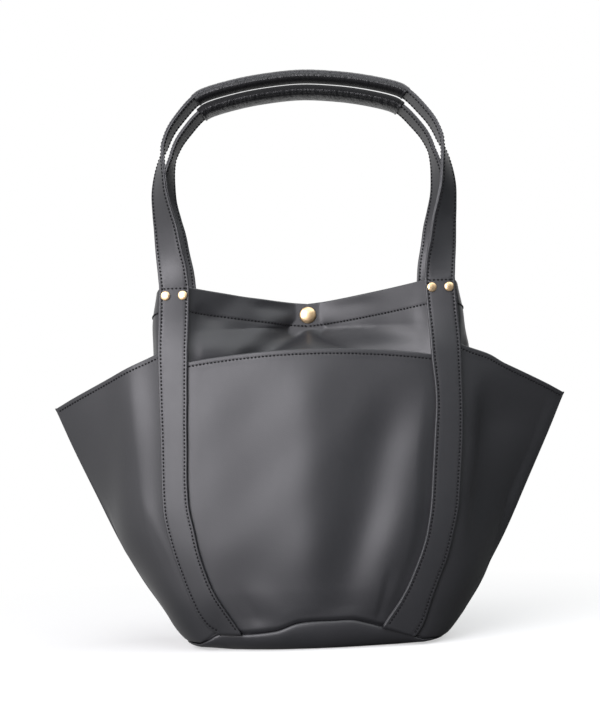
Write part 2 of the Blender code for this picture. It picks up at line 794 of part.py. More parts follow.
def handle_frame(share):
    """Place, width direction and outward direction of the strap along a handle."""
    point = handle_point(share)
    step = HANDLE_STEP_SHARE
    tangent = handle_point(min(share + step, 1.0)) - handle_point(max(share - step, 0.0))
    tangent.y = 0.0
    tangent.normalize()
    if share >= 1.0:
        tangent = Vector((-1.0, 0.0, 0.0))
    knots = len(HANDLE_LEG_SHARES) + len(HANDLE_ARCH_SHARES) - 1
    upright = smooth(share * knots)
    tangent = Vector((0.0, 0.0, 1.0)).lerp(tangent, upright).normalized()
    front = Vector((0.0, -1.0, 0.0))
    inward = front.cross(tangent).normalized()
    rise = (point.z - hinge_height() - HINGE_RELIEF) / HANDLE_RISE
    turn = math.pi / 2 * follow(HANDLE_TWIST_SHARES, rise)
    width = inward * math.cos(turn) + front * math.sin(turn)
    outward = front * math.cos(turn) - inward * math.sin(turn)
    return point, width, outward


def swept(name, shares, ring, look, collection, side, closed):
    """Sweep a section along the right half of a handle and join it to its twin.

    ring(share) gives the section's points. closed makes a solid bar, and otherwise the section
    is an open line that gets the grip's wall.
    """
    mesh = bpy.data.meshes.new(name)
    form = bmesh.new()
    rings = []
    for share in shares:
        points = ring(share)
        if share >= 1.0:
            points = [Vector((0.0, point.y, point.z)) for point in points]
        rings.append([form.verts.new(point) for point in points])
    for low, high in zip(rings, rings[1:]):
        count = len(low)
        for index in range(count if closed else count - 1):
            after = (index + 1) % count
            form.faces.new((low[index], low[after], high[after], high[index]))
    if closed:
        form.faces.new(list(reversed(rings[0])))
    if side == BACK:
        for vert in form.verts:
            vert.co.y = -vert.co.y
        bmesh.ops.reverse_faces(form, faces=form.faces[:])
    form.to_mesh(mesh)
    form.free()
    mesh.shade_smooth()
    mesh.materials.append(finish(name, look))
    piece = bpy.data.objects.new(name, mesh)
    collection.objects.link(piece)
    twin = piece.modifiers.new("twin", "MIRROR")
    twin.use_axis = (True, False, False)
    twin.merge_threshold = MERGE
    return piece


def section(frame, half_width, low, high):
    """Four corners of a bar between two distances from the strap's line."""
    point, width, outward = frame
    corners = ((half_width, low), (half_width, high), (-half_width, high), (-half_width, low))
    return [point + width * across + outward * out for across, out in corners]


def grip_shares():
    """Shares of the handle line between the grip's end and its top."""
    low, high = 0.5, 1.0
    for _ in range(HALVINGS):
        middle = (low + high) / 2
        if handle_point(middle).x > GRIP_HALF_LENGTH:
            low = middle
        else:
            high = middle
    return [level(low, 1.0, step / GRIP_STEPS) for step in range(GRIP_STEPS + 1)]


def make_handle(side, collection):
    """Handle strap, the pad under its middle and the leather wrapped round both."""
    prefix = side_name(side) + "_handle_"
    half = STRAP_THICKNESS / 2
    below = grip_shares()[0]
    strap_shares = [below * step / LEG_STEPS for step in range(LEG_STEPS)] + grip_shares()

    def strap_ring(share):
        return section(handle_frame(share), STRAP_WIDTH / 2, -half, half)

    strap = swept(prefix + "strap", strap_shares, strap_ring, CHARCOAL_PU, collection, side, True)

    pad_top = -half - FIT
    pad_bottom = pad_top - GRIP_PAD_THICKNESS

    def pad_ring(share):
        return section(handle_frame(share), GRIP_PAD_WIDTH / 2, pad_bottom, pad_top)

    inner = grip_shares()
    pad_shares = [level(inner[0], inner[1], PAD_START_SHARE)] + inner[1:]
    pad = swept(prefix + "pad", pad_shares, pad_ring, GREY_FOAM, collection, side, True)

    def grip_ring(share):
        point, width, outward = handle_frame(share)
        half_width = STRAP_WIDTH / 2 + FIT
        low, high = pad_bottom - FIT, half + FIT
        half_line = [
            (GRIP_SEAM_GAP / 2, low), (half_width - FIT, low), (half_width, low + FIT),
            (half_width, high - FIT), (half_width - FIT, high),
        ]
        line = half_line + [(-across, out) for across, out in reversed(half_line)]
        return [point + width * across + outward * out for across, out in line]

    grip = swept(prefix + "grip", inner, grip_ring, BLACK_GRIP, collection, side, False)
    wall = grip.modifiers.new("wall", "SOLIDIFY")
    wall.thickness = GRIP_WALL
    wall.offset = 1.0
    wall.use_even_offset = True
    for piece in (strap, pad, grip):
        hang(piece, hinge_origin(side))


def main():
    """Build the whole bag."""
    clear_scene()
    bag = new_collection("tote_bag")
    cutters = new_collection("cutters")
    make_base(bag)
    for side in (FRONT, BACK):
        make_pocket(side, bag)
        make_main_panel(side, bag, cutters)
        make_lining(side, bag)
        make_hem(side, bag, cutters)
        make_handle(side, bag)
        for left in (True, False):
            make_wing(side, left, bag)
            make_strap(side, left, bag, cutters)
    for left in (True, False):
        make_side_panel(left, bag, cutters)
    make_rivets(bag)
    make_snap(bag)


main()
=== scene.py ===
"""Dress of the tote bag: soft faux leather, sewn straps, wrapped grips, brass rivets and snap.

Everything is in metres, +Z up and -Y to the front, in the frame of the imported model. The lines of
the body are those of the solids, made finer here, with folds, hems, seams and stitches.
"""

import logging
import math
from dataclasses import dataclass, field
from enum import Enum
from functools import partial
from typing import Any, Callable, Sequence

import bpy
import numpy as np
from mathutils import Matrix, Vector


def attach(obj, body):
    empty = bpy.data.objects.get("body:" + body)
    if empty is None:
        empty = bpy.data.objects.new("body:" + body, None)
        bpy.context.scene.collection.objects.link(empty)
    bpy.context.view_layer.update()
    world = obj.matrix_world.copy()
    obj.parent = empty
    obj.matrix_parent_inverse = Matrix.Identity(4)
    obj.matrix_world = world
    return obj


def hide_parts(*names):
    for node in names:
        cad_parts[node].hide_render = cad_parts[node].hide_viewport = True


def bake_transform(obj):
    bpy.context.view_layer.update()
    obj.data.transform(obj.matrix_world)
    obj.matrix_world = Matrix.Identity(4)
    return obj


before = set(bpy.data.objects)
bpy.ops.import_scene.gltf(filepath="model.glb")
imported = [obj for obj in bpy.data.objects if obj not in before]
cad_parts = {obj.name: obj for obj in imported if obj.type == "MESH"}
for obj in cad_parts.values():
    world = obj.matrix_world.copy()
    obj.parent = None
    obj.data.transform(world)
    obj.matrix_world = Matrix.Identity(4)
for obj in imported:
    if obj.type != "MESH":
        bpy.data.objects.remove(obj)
LOG = logging.getLogger("tote_bag")
MM = 0.001
FULL_TURN = 2.0 * math.pi
FLIP_X = np.array([-1.0, 1.0, 1.0])
FLIP_Y = np.array([1.0, -1.0, 1.0])
Points = np.ndarray
Place = tuple[float, float, float]
Colour = tuple[float, float, float]


class Signed(Enum):
    """Part of the bag that is told by the sign of a coordinate."""

    @property
    def word(self) -> str:
        """Name used in the pieces."""
        return self.name.lower()


class Side(Signed):
    """Front or back of the bag, by the sign of Y."""

    FRONT = -1.0
    BACK = 1.0

    @property
    def turn(self) -> Points:
        """Signs that turn a shape of the front to this side."""
        return np.array([1.0, -self.value, 1.0])


class Hand(Signed):
    """Left or right of the bag as seen from the front, by the sign of X."""

    LEFT = -1.0
    RIGHT = 1.0

    @property
    def turn(self) -> Points:
        """Signs that turn a shape of the right to this hand."""
        return np.array([self.value, 1.0, 1.0])


def ease(value: Any) -> Any:
    """Go smoothly from 0 to 1 as the value does."""
    value = np.clip(value, 0.0, 1.0)
    return value * value * (3.0 - 2.0 * value)


def level(low: Any, high: Any, share: Any) -> Any:
    """Value at a share of the way from low to high."""
    return low + (high - low) * share


def bump(distance: Any, width: float) -> Any:
    """Bell that is 1 at distance 0 and fades over a width."""
    return np.exp(-((distance / width) ** 2))


def unit(vectors: Points) -> Points:
    """Vectors at length 1."""
    return vectors / np.maximum(np.linalg.norm(vectors, axis=-1, keepdims=True), 1e-12)


def place_at(x: Any, y: Any, z: Any) -> Points:
    """Array of points from three arrays of coordinates."""
    return np.stack(np.broadcast_arrays(x, y, z), axis=-1).astype(float)


def spaced(*parts: tuple[float, float, int]) -> Points:
    """Row of places in parts of (from, to, count), where only the last part keeps its end."""
    open_parts = [np.linspace(*part, endpoint=False) for part in parts[:-1]]
    return np.concatenate([*open_parts, np.linspace(*parts[-1])])


def linked(name: str, data: Any) -> bpy.types.Object:
    """Object of some data at the origin, in the scene.

    Args:
        name: Name of the object.
        data: Mesh, lamp or camera data.

    Returns:
        The new object.
    """
    made = bpy.data.objects.new(name, data)
    bpy.context.scene.collection.objects.link(made)
    return made


def as_seen(piece: bpy.types.Object) -> bpy.types.Mesh:
    """New mesh of a piece with its modifiers applied."""
    graph = bpy.context.evaluated_depsgraph_get()
    return bpy.data.meshes.new_from_object(piece.evaluated_get(graph))


def ring_faces(rings: int, around: int) -> list[tuple[int, ...]]:
    """Faces between closed rings of points, one ring after another.

    Args:
        rings: Number of rings.
        around: Points in each ring.

    Returns:
        Four point numbers for each face.
    """
    number = np.arange(rings * around).reshape(rings, around)
    after = np.roll(number, -1, axis=1)
    quads = np.stack([number[:-1], after[:-1], after[1:], number[1:]], -1).reshape(-1, 4)
    return [tuple(quad) for quad in quads.tolist()]


class Curve:
    """Smooth curve through (place, value) knots that never overshoots them."""

    def __init__(self, *knots: tuple[float, float]) -> None:
        """Keep the knots and work out the slope at each.

        Args:
            *knots: Pairs of place and value, in order of place.
        """
        self.places = np.array([knot[0] for knot in knots])
        self.values = np.array([knot[1] for knot in knots])
        slopes = np.diff(self.values) / np.diff(self.places)
        before, after = slopes[:-1], slopes[1:]
        product, total = before * after, before + after
        inner = np.where(product > 0.0, 2.0 * product / np.where(product > 0.0, total, 1.0), 0.0)
        self.tangents = np.concatenate([slopes[:1], inner, slopes[-1:]])

    def __call__(self, place: Any) -> Any:
        """Value of the curve at one or many places.

        Args:
            place: One place or an array of them; beyond the ends, the end value holds.

        Returns:
            One value for each place.
        """
        place = np.clip(np.asarray(place, float), self.places[0], self.places[-1])
        index = np.clip(np.searchsorted(self.places, place, side="right") - 1, 0, len(self.places) - 2)
        width = self.places[index + 1] - self.places[index]
        share = (place - self.places[index]) / width
        start = share * (1.0 - share) ** 2 * width * self.tangents[index]
        end = share**2 * (1.0 - share) * width * self.tangents[index + 1]
        return level(self.values[index], self.values[index + 1], ease(share)) + start - end


@dataclass(frozen=True)
class Fold:
    """Soft ridge, or valley where its height is negative, seen from the front as a line in X and Z."""

    start: tuple[float, float]
    end: tuple[float, float]
    width: float
    height: float
    skew: float = 0.0
    fade: tuple[float, float] = (0.35, 0.35)

    def lift(self, x: Points, z: Points) -> Points:
        """How far the fold lifts each place of a panel.

        Args:
            x: Places across, in metres.
            z: Heights, in metres.

        Returns:
            Lift along the panel's own normal, in metres.
        """
        run, rise = self.end[0] - self.start[0], self.end[1] - self.start[1]
        length = math.hypot(run, rise)
        along = ((x - self.start[0]) * run + (z - self.start[1]) * rise) / length**2
        off = ((x - self.start[0]) * rise - (z - self.start[1]) * run) / length
        width = self.width * (1.0 + self.skew * np.tanh(off / self.width))
        ends = ease((along + self.fade[0] * 0.5) / self.fade[0])
        ends = ends * ease((1.0 + self.fade[1] * 0.5 - along) / self.fade[1])
        return self.height * bump(off / width, 1.0) * ends


def folded(folds: Sequence[Fold], points: Points) -> Points:
    """Sum of what several folds lift at each point of a panel."""
    return sum(fold.lift(points[..., 0], points[..., 2]) for fold in folds)


def wander(points: Points, size: float, seed: int) -> Points:
    """Gentle random swell between -1 and 1, the same each run.

    Args:
        points: Places in metres.
        size: Length of one swell in metres.
        seed: Picks the pattern.

    Returns:
        One value for each point.
    """
    dice = np.random.default_rng(seed)
    total = np.zeros(points.shape[:-1])
    for _ in range(7):
        turn = unit(dice.normal(size=3)) * 2.0 * math.pi / (size * dice.uniform(0.7, 1.5))
        total = total + np.sin(points @ turn + dice.uniform(0.0, FULL_TURN))
    return total / 4.0


def grid_normals(points: Points) -> Points:
    """Normals of a grid whose columns run to +X and whose rows run up, on the front."""
    return unit(np.cross(np.gradient(points, axis=1), np.gradient(points, axis=0)))


@dataclass
class Shell:
    """Faces of one piece before they become a mesh, those of its lining side, or of a grip's painted-shade
    arc, told apart as inner.
    """

    points: Points
    faces: list[tuple[int, ...]]
    inner: set[int] = field(default_factory=set)
    normals: Points | None = None

    def mirrored(self, turn: Points) -> "Shell":
        """Copy turned to another side by signs, with its faces still outwards.

        Args:
            turn: Signs for X, Y and Z.

        Returns:
            The copy.
        """
        faces = self.faces
        if np.prod(turn) < 0.0:
            faces = [face[::-1] for face in self.faces]
        normals = None if self.normals is None else self.normals * turn
        return Shell(self.points * turn, faces, self.inner, normals)


def thick_sheet(points: Points, thickness: Any, normals: Points | None = None,
                open_ends: bool = False, rounds: int = 3) -> Shell:
    """Give a grid of points a thickness behind it and round its edges.

    Args:
        points: Rows by columns of points on the outer face.
        thickness: One value, or one for each point.
        normals: Normals of the outer face, where they are known.
        open_ends: Leave the edges of the first and last column open, because other pieces go on there.
        rounds: Rows of points round each edge.

    Returns:
        A closed shell, apart from the ends that are left open.
    """
    rows, columns = points.shape[:2]
    normals = grid_normals(points) if normals is None else normals
    depth = np.broadcast_to(thickness, (rows, columns))[..., None]
    inner = points - normals * depth
    count = rows * columns
    number = np.arange(count).reshape(rows, columns)
    corners = [number[:-1, :-1], number[:-1, 1:], number[1:, 1:], number[1:, :-1]]
    quads = np.stack(corners, -1).reshape(-1, 4)
    faces = [tuple(quad) for quad in quads.tolist()]
    inside = set(range(len(faces), 2 * len(faces)))
    faces += [tuple(quad) for quad in (quads[:, ::-1] + count).tolist()]
    loop = [(0, column) for column in range(columns)] + [(row, columns - 1) for row in range(1, rows)]
    loop += [(rows - 1, column) for column in range(columns - 2, -1, -1)]
    loop += [(row, 0) for row in range(rows - 2, 0, -1)]
    row, column = np.array(loop).T
    across, up = unit(np.gradient(points, axis=1)), unit(np.gradient(points, axis=0))
    out = np.zeros((len(loop), 3))
    right_end = columns - 1
    beyond = [(row == 0, -up), (row == rows - 1, up), (column == 0, -across), (column == right_end, across)]
    for test, way in beyond:
        out[test] += way[row[test], column[test]]
    edge_normals = normals[row, column]
    out = unit(out - edge_normals * np.sum(out * edge_normals, -1, keepdims=True))
    half = depth[row, column] / 2
    middle = points[row, column] - edge_normals * half
    rings = [number[row, column]]
    blocks = [points.reshape(-1, 3), inner.reshape(-1, 3)]
    all_normals = [normals.reshape(-1, 3), -normals.reshape(-1, 3)]
    for step in range(rounds):
        angle = math.pi * (step + 1) / (rounds + 1)
        way = edge_normals * math.cos(angle) + out * math.sin(angle)
        blocks.append(middle + way * half)
        all_normals.append(way)
        rings.append(2 * count + step * len(loop) + np.arange(len(loop)))
    rings.append(rings[0] + count)
    onward = np.roll(np.arange(len(loop)), -1)
    ends = (column == column[onward]) & ((column == 0) | (column == right_end))
    kept = ~ends if open_ends else np.ones(len(loop), bool)
    for ring, after in zip(rings, rings[1:]):
        sides = np.stack([ring, after, after[onward], ring[onward]], -1)[kept]
        faces += [tuple(side) for side in sides.tolist()]
    return Shell(np.concatenate(blocks), faces, inside, np.concatenate(all_normals))


def tube(rings: Points) -> Shell:
    """Skin a row of closed rings that run the same way round, close its ends and face it outwards.

    Args:
        rings: Rings by points by coordinates.

    Returns:
        A closed shell.
    """
    count, around = rings.shape[:2]
    last = (count - 1) * around
    faces = ring_faces(count, around) + [tuple(range(around))[::-1], tuple(range(last, last + around))]
    return outward(Shell(rings.reshape(-1, 3), faces))


def outward(shell: Shell) -> Shell:
    """Turn a closed shell's faces outwards, by the sign of its volume.

    Args:
        shell: A closed shell.

    Returns:
        The same shell.
    """
    volume = 0.0
    for face in shell.faces:
        first = shell.points[face[0]]
        for second, third in zip(face[1:-1], face[2:]):
            volume += float(np.dot(first, np.cross(shell.points[second], shell.points[third])))
    if volume < 0.0:
        shell.faces = [face[::-1] for face in shell.faces]
    return shell


# Lines of the body by share of the mouth's height: each is a share of the size that BagForm names.
STRAP_LINE = Curve(
    (0.0, 0.55), (0.049, 0.62), (0.15, 0.765), (0.21, 0.829), (0.305, 0.908),
    (0.41, 0.97), (0.56, 0.99), (0.67, 1.0), (0.81, 0.995), (1.0, 0.972),
)
DEPTH_LINE = Curve(
    (0.0, 0.87), (0.06, 0.90), (0.17, 0.97), (0.33, 1.0), (0.6, 0.985), (0.8, 0.945),
    (0.93, 0.875), (1.0, 0.875),
)
CROWN_LINE = Curve((0.0, 0.75), (0.06, 0.8), (0.3, 1.0), (0.6, 0.97), (0.82, 0.9), (0.93, 0.0), (1.0, 0.0))
CENTRE_LINE = Curve(
    (0.06, 0.925), (0.12, 0.95), (0.19, 0.965), (0.38, 0.93), (0.57, 0.86), (0.69, 0.76),
    (0.77, 0.60), (0.825, 0.38), (0.86, 0.13), (0.882, 0.0),
)
SIDE_LINE = Curve((0.04, 0.0), (0.15, 0.35), (0.35, 0.68), (0.6, 0.9), (0.85, 1.0), (1.0, 0.64))
CREASE_LINE = Curve((0.3, 2.0), (0.65, 2.0), (0.9, 1.15), (1.0, 1.15))
# The wing's edge and roundness by share of its height, and the handle's knots as (rise, reach).
WING_EDGE = Curve(
    (0.0, 0.455), (0.07, 0.528), (0.17, 0.597), (0.27, 0.672), (0.33, 0.706),
    (0.43, 0.757), (0.63, 0.845), (0.84, 0.936), (1.0, 1.0),
)
WING_ROUND = Curve((0.0, 0.9), (0.06, 0.9), (0.28, 0.6), (0.6, 0.3), (1.0, 0.1))
HANDLE_LEG = ((0.0, 0.0), (0.08, 0.13), (0.17, 0.36), (0.27, 0.56), (0.352, 0.80), (0.446, 1.0))
HANDLE_ARCH = (
    (0.54, 0.993), (0.62, 0.976), (0.70, 0.948), (0.765, 0.908), (0.83, 0.84), (0.885, 0.765),
    (0.925, 0.68), (0.962, 0.48), (0.987, 0.26), (1.0, 0.0),
)
HANDLE_LAST = len(HANDLE_LEG + HANDLE_ARCH) - 1
HANDLE_TWIST = Curve(
    (0.0, 0.0), (0.08, 0.13), (0.17, 0.29), (0.27, 0.39), (0.352, 0.5), (0.446, 0.62), (0.539, 0.75),
    (0.62, 0.9), (0.67, 1.0),
)

# Sideways lean in mm by height: of the outer edges (2), and of the straps' outer and inner edges (1.5, 1).
LEAN = {
    -2: Curve((0.0, 1.5), (0.012, 0.5), (0.03, -1.5), (0.07, -2.0), (0.15, -1.5), (0.2, -1.0), (0.26, 0.0)),
    -1.5: Curve((0.0, 2.0), (0.013, 1.7), (0.025, -1.1), (0.043, -3.5), (0.06, -4.9), (0.095, -5.0),
                (0.13, -3.5), (0.16, -2.0), (0.2, 0.0)),
    -1: Curve((0.0, -6.0), (0.025, -7.6), (0.043, -8.6), (0.06, -9.0), (0.078, -8.5), (0.095, -7.4),
              (0.112, -5.9), (0.147, -4.8), (0.18, -2.5), (0.22, 0.0)),
    1: Curve((0.0, -4.0), (0.025, -4.2), (0.043, -3.5), (0.06, -1.7), (0.095, 0.3), (0.13, -1.8),
             (0.182, 0.0), (0.217, 1.4), (0.25, 0.0)),
    1.5: Curve((0.0, -6.0), (0.025, -4.8), (0.043, -5.3), (0.06, -3.5), (0.08, -1.8), (0.13, -2.0),
               (0.147, -1.5), (0.18, 0.0)),
    2: Curve((0.0, -8.0), (0.012, -5.0), (0.022, -2.5), (0.032, 0.0), (0.045, 1.2), (0.07, -1.5),
             (0.15, -1.5), (0.2, -1.0), (0.26, 0.0)),
}
# Lift of the base seam in mm across the bag.
SEAM_LIFT = Curve(
    (-0.1035, -9.0), (-0.097, -5.5), (-0.085, 0.8), (-0.064, 0.4), (-0.038, 1.0), (-0.016, 6.0), (0.01, 7.3),
    (0.03, 9.0), (0.045, 6.7), (0.056, 3.3), (0.067, -0.4), (0.08, -6.0), (0.0913, -11.0),
)


@dataclass(frozen=True)
class BagForm:
    """Sizes and lines of the bag, the same as those of the solids, in metres."""

    mouth_height: float = 0.318
    mouth_dip: float = 0.0144
    mouth_sag: float = 0.0166
    mouth_curve: float = 1.25
    body_depth: float = 0.128
    main_depth: float = 0.141
    main_width: float = 0.282
    wing_span: float = 0.455
    wing_tip_height: float = 0.2155
    wing_root_height: float = 0.262
    pocket_height: float = 0.261
    pocket_arch: float = 0.008
    pocket_crown: float = 0.0095
    rim_front: float = 0.019
    rim_strap: float = 0.015
    rim_side: float = 0.0125
    base_flat: float = 0.75
    seam_middle: float = 0.0165
    seam_fade: float = 0.05
    skirt_wall: float = 0.0014
    main_wall: float = 0.0013
    hem_wall: float = 0.0024
    hem_height: float = 0.020
    strap_width: float = 0.025
    strap_wall: float = 0.003
    strap_spread: float = 0.238
    handle_rise: float = 0.182
    handle_spread: float = 0.2515
    handle_lean: float = 0.006
    grip_half_length: float = 0.094
    rivet_drop: float = 0.006
    rivet_spacing: float = 0.015
    snap_drop: float = 0.0112
    lip_half_gap: float = 0.0022
    seam_gap: float = 0.0005
    layer_gap: float = 0.0005
    fit: float = 0.0003
    hinge_rise: float = 0.0025
    hinge_relief: float = 0.0004
    slope_step: float = 0.01
    layers_close: tuple[float, float] = (0.85, 0.08)
    snap_flat: float = 0.1
    side_round: float = 0.9
    roll_from: tuple[float, float] = (0.5, 0.35)

    def strap_centre(self, height: Any) -> Any:
        """Half the distance between the two strap lines at a height."""
        return self.strap_spread / 2 * STRAP_LINE(height / self.mouth_height)

    def strap_half_run(self, height: Any) -> Any:
        """Half the strap's width, measured level where the strap leans.

        Args:
            height: Height above the ground.

        Returns:
            Half the width.
        """
        step = self.mouth_height * self.slope_step
        slope = (self.strap_centre(height + step) - self.strap_centre(height - step)) / (2 * step)
        return self.strap_width / 2 * np.hypot(1.0, slope)

    def depth(self, height: Any) -> Any:
        """Half the depth of the outer skin at the strap line."""
        return self.body_depth / 2 * DEPTH_LINE(height / self.mouth_height)

    def crown(self, height: Any) -> Any:
        """How far the skirt's middle stands in front of the strap's inner edge."""
        return self.pocket_crown * CROWN_LINE(height / self.mouth_height)

    def plan_slope(self, height: Any) -> Any:
        """Slope of the strap's plane in plan."""
        return 2 * self.crown(height) / (self.strap_centre(height) - self.strap_half_run(height))

    def skin(self, across: Any, height: Any) -> Points:
        """Outer skin of the front.

        Args:
            across: 0 in the middle, 1, 2 and 3 at a strap's inner edge, line and outer edge, and
                negative on the left.
            height: Height above the ground.

        Returns:
            Points on the skin.
        """
        reach = np.abs(across)
        line, run = self.strap_centre(height), self.strap_half_run(height)
        slope, crown, depth = self.plan_slope(height), self.crown(height), self.depth(height)
        on_panel = reach <= 1.0
        x = np.where(on_panel, (line - run) * reach, line + run * (reach - 2.0))
        bowed = -(depth + slope * run + crown * (1.0 - reach**2))
        y = np.where(on_panel, bowed, slope * run * (reach - 2.0) - depth)
        return place_at(np.sign(across) * x, y, height)

    def settled(self, points: Points) -> Points:
        """Lean the low part of the bag, wave its base seam and let its right side swell under the mouth.

        Args:
            points: Places in metres.

        Returns:
            The places moved by a few millimetres along the walls.
        """
        x, height = points[..., 0], np.clip(points[..., 2], 0.0, self.mouth_height)
        line, run = self.strap_centre(height), self.strap_half_run(height)
        end = self.wing_span / 2 * WING_EDGE(np.minimum(height / self.wing_tip_height, 1.0))
        places = {-2: -end, -1.5: -line - run, -1: run - line, 1: line - run, 1.5: line + run, 2: end}
        marks = list(places)
        drift = LEAN[marks[0]](height)
        for low, high in zip(marks, marks[1:]):
            width = np.maximum(places[high] - places[low], 1e-6)
            share = np.clip((x - places[low]) / width, 0.0, 1.0)
            drift = np.where(x >= places[low], level(LEAN[low](height), LEAN[high](height), share), drift)
        swell = 4.0 * bump(height - 0.256, 0.017) * ease((x - 0.125) / 0.012) * ease((0.175 - x) / 0.02)
        swell = swell * ease((0.055 - np.abs(points[..., 1])) / 0.010)
        moved = x + (drift + swell) * MM
        over_seam = ease((height - self.seam_middle) / self.seam_fade)
        near_seam = np.minimum(height / self.seam_middle, 1.0) * (1.0 - over_seam)
        return place_at(moved, points[..., 1], points[..., 2] + SEAM_LIFT(moved) * MM * near_seam)

    def rim(self, across: Any) -> Any:
        """Height of the base seam along the front."""
        return self.rim_front - (self.rim_front - self.rim_strap) * ease(np.abs(across))

    def mouth(self, across: Any) -> Any:
        """Height of the mouth's edge, lowest at the snap."""
        rise = np.minimum(np.abs(across), 1.0) ** self.mouth_curve
        return self.mouth_height - self.mouth_sag * (1.0 - rise)

    @staticmethod
    def bent(start: Points, end: Points, roundness: Any, share: Any) -> Points:
        """Point on a curve that leaves start level with the front and meets end from the front.

        Args:
            start: First point of each curve.
            end: Last point of each curve.
            roundness: How far each curve goes out towards the corner, from 0 to 1.
            share: Share of the way along each curve.

        Returns:
            One point on each curve.
        """
        middle = (start + end) / 2
        corner = place_at(end[..., 0], start[..., 1], middle[..., 2])
        share = share[..., None]
        turn = level(middle, corner, np.asarray(roundness)[..., None])
        return level(level(start, turn, share), level(turn, end, share), share)

    def wing(self, around: Any, up: Any) -> Points:
        """Wing's skin, from the strap's outer edge to the seam at its outer edge.

        Args:
            around: 0 at the strap and 1 at the outer edge.
            up: Share of the height.

        Returns:
            Points on the skin.
        """
        around, up = np.broadcast_arrays(around, up)
        root = self.skin(np.full(up.shape, 3.0), level(self.rim_strap, self.wing_root_height, up))
        height = level(self.rim_side, self.wing_tip_height, up)
        edge = self.wing_span / 2 * WING_EDGE(height / self.wing_tip_height)
        return self.bent(root, place_at(edge, 0.0, height), WING_ROUND(up), around)

    def layer_step(self, height: Any) -> Any:
        """Depth of the main bag's face behind the skirt, closing up above the pockets."""
        start, width = self.layers_close
        return (self.skirt_wall + self.layer_gap) * (1.0 - ease((height / self.mouth_height - start) / width))

    def main_front(self, across: Any, height: Any) -> Points:
        """Outer face of the main bag's front, pulled back to the closed lips at its top.

        Args:
            across: Place across, as for skin().
            height: Height above the ground.

        Returns:
            Points on the face.
        """
        reach = np.abs(across)
        outer = self.skin(across, height)
        outer[..., 1] += self.layer_step(height)
        edge = self.skin(np.sign(across) + (np.asarray(across) == 0.0), height)
        edge_reach = -edge[..., 1] - self.layer_step(height)
        lip_reach = self.lip_half_gap + self.hem_wall
        middle = level(lip_reach, self.main_depth / 2, CENTRE_LINE(height / self.mouth_height))
        rise = np.maximum(0.0, (reach - self.snap_flat) / (1.0 - self.snap_flat))
        share = rise ** CREASE_LINE(height / self.mouth_height)
        x = np.abs(edge[..., 0]) * np.asarray(across)
        panel = place_at(x, -level(middle, edge_reach, share), height)
        return np.where((reach > 1.0)[..., None], outer, panel)

    def main_side(self, around: Any, up: Any) -> Points:
        """Side of the main bag, from the strap's outer edge round to the middle of the side.

        Args:
            around: 0 at the strap and 1 in the middle of the side.
            up: Share of the height.

        Returns:
            Points on the side.
        """
        around, up = np.broadcast_arrays(around, up)
        height = level(self.rim_strap + self.seam_gap, self.mouth_height, up)
        root = self.skin(np.full(up.shape, 3.0), height)
        side_height = level(self.rim_side + self.seam_gap, self.mouth_height - self.rivet_drop * up, up)
        base_half = self.wing(1.0, 0.0)[..., 0]
        half = level(base_half, self.main_width / 2, SIDE_LINE(side_height / self.mouth_height))
        return self.bent(root, place_at(half, 0.0, side_height), self.side_round, around)

    @property
    def snap_height(self) -> float:
        """Height of the snap's middle."""
        return self.mouth_height - self.mouth_dip - self.snap_drop

    @property
    def hinge_height(self) -> float:
        """Height of the line that a handle folds about."""
        return self.mouth_height + self.hinge_rise

    @property
    def strap_face(self) -> float:
        """Depth of the strap's outer face at the mouth."""
        return float(self.depth(self.mouth_height)) + self.seam_gap + self.strap_wall

    def handle_knot(self, number: int) -> Points:
        """One of the points that a handle's line follows, over the top and down the other side.

        Args:
            number: Counted from the hinge on the right.

        Returns:
            The point.
        """
        number = max(number, 0)
        side = 1.0 if number <= HANDLE_LAST else -1.0
        number = min(number, 2 * HANDLE_LAST - number)
        rise, reach = (HANDLE_LEG + HANDLE_ARCH)[number]
        foot = float(self.strap_centre(self.mouth_height)) if number < len(HANDLE_LEG) else 0.0
        depth = -(self.strap_face - self.strap_wall / 2) + self.handle_lean * rise
        height = self.hinge_height + self.hinge_relief + self.handle_rise * rise
        return np.array([side * level(foot, self.handle_spread / 2, reach), depth, height])

    def handle_point(self, share: float) -> Points:
        """Strap line of the right half of a handle, from the hinge, share 0, to the top, share 1.

        Args:
            share: Share of the way.

        Returns:
            The point.
        """
        index = min(int(share * HANDLE_LAST), HANDLE_LAST - 1)
        near = share * HANDLE_LAST - index
        before, low, high, after = (self.handle_knot(index + step) for step in (-1, 0, 1, 2))
        return (low * 2 + (high - before) * near + (before * 2 - low * 5 + high * 4 - after) * near**2
                + (low * 3 - before - high * 3 + after) * near**3) / 2

    def handle_frame(self, share: float, roll: float = 0.0) -> tuple[Points, Points, Points]:
        """Frame of the strap along a handle's right half.

        Args:
            share: Share of the way from the hinge to the top.
            roll: Further turn of the strap in its arch, in degrees.

        Returns:
            Place, width direction and outward direction.
        """
        point = self.handle_point(share)
        tangent = self.handle_point(min(share + 0.001, 1.0)) - self.handle_point(max(share - 0.001, 0.0))
        tangent[1] = 0.0
        tangent = unit(tangent)
        if share >= 1.0:
            tangent = np.array([-1.0, 0.0, 0.0])
        upright = ease(share * HANDLE_LAST)
        tangent = unit(level(np.array([0.0, 0.0, 1.0]), tangent, upright))
        front = np.array([0.0, -1.0, 0.0])
        inward = unit(np.cross(front, tangent))
        rise = (point[2] - self.hinge_height - self.hinge_relief) / self.handle_rise
        start, width = self.roll_from
        turn = math.radians(roll) * float(ease((rise - start) / width))
        turn = math.pi / 2 * float(HANDLE_TWIST(rise)) + turn
        across = inward * math.cos(turn) + front * math.sin(turn)
        return point, across, front * math.cos(turn) - inward * math.sin(turn)

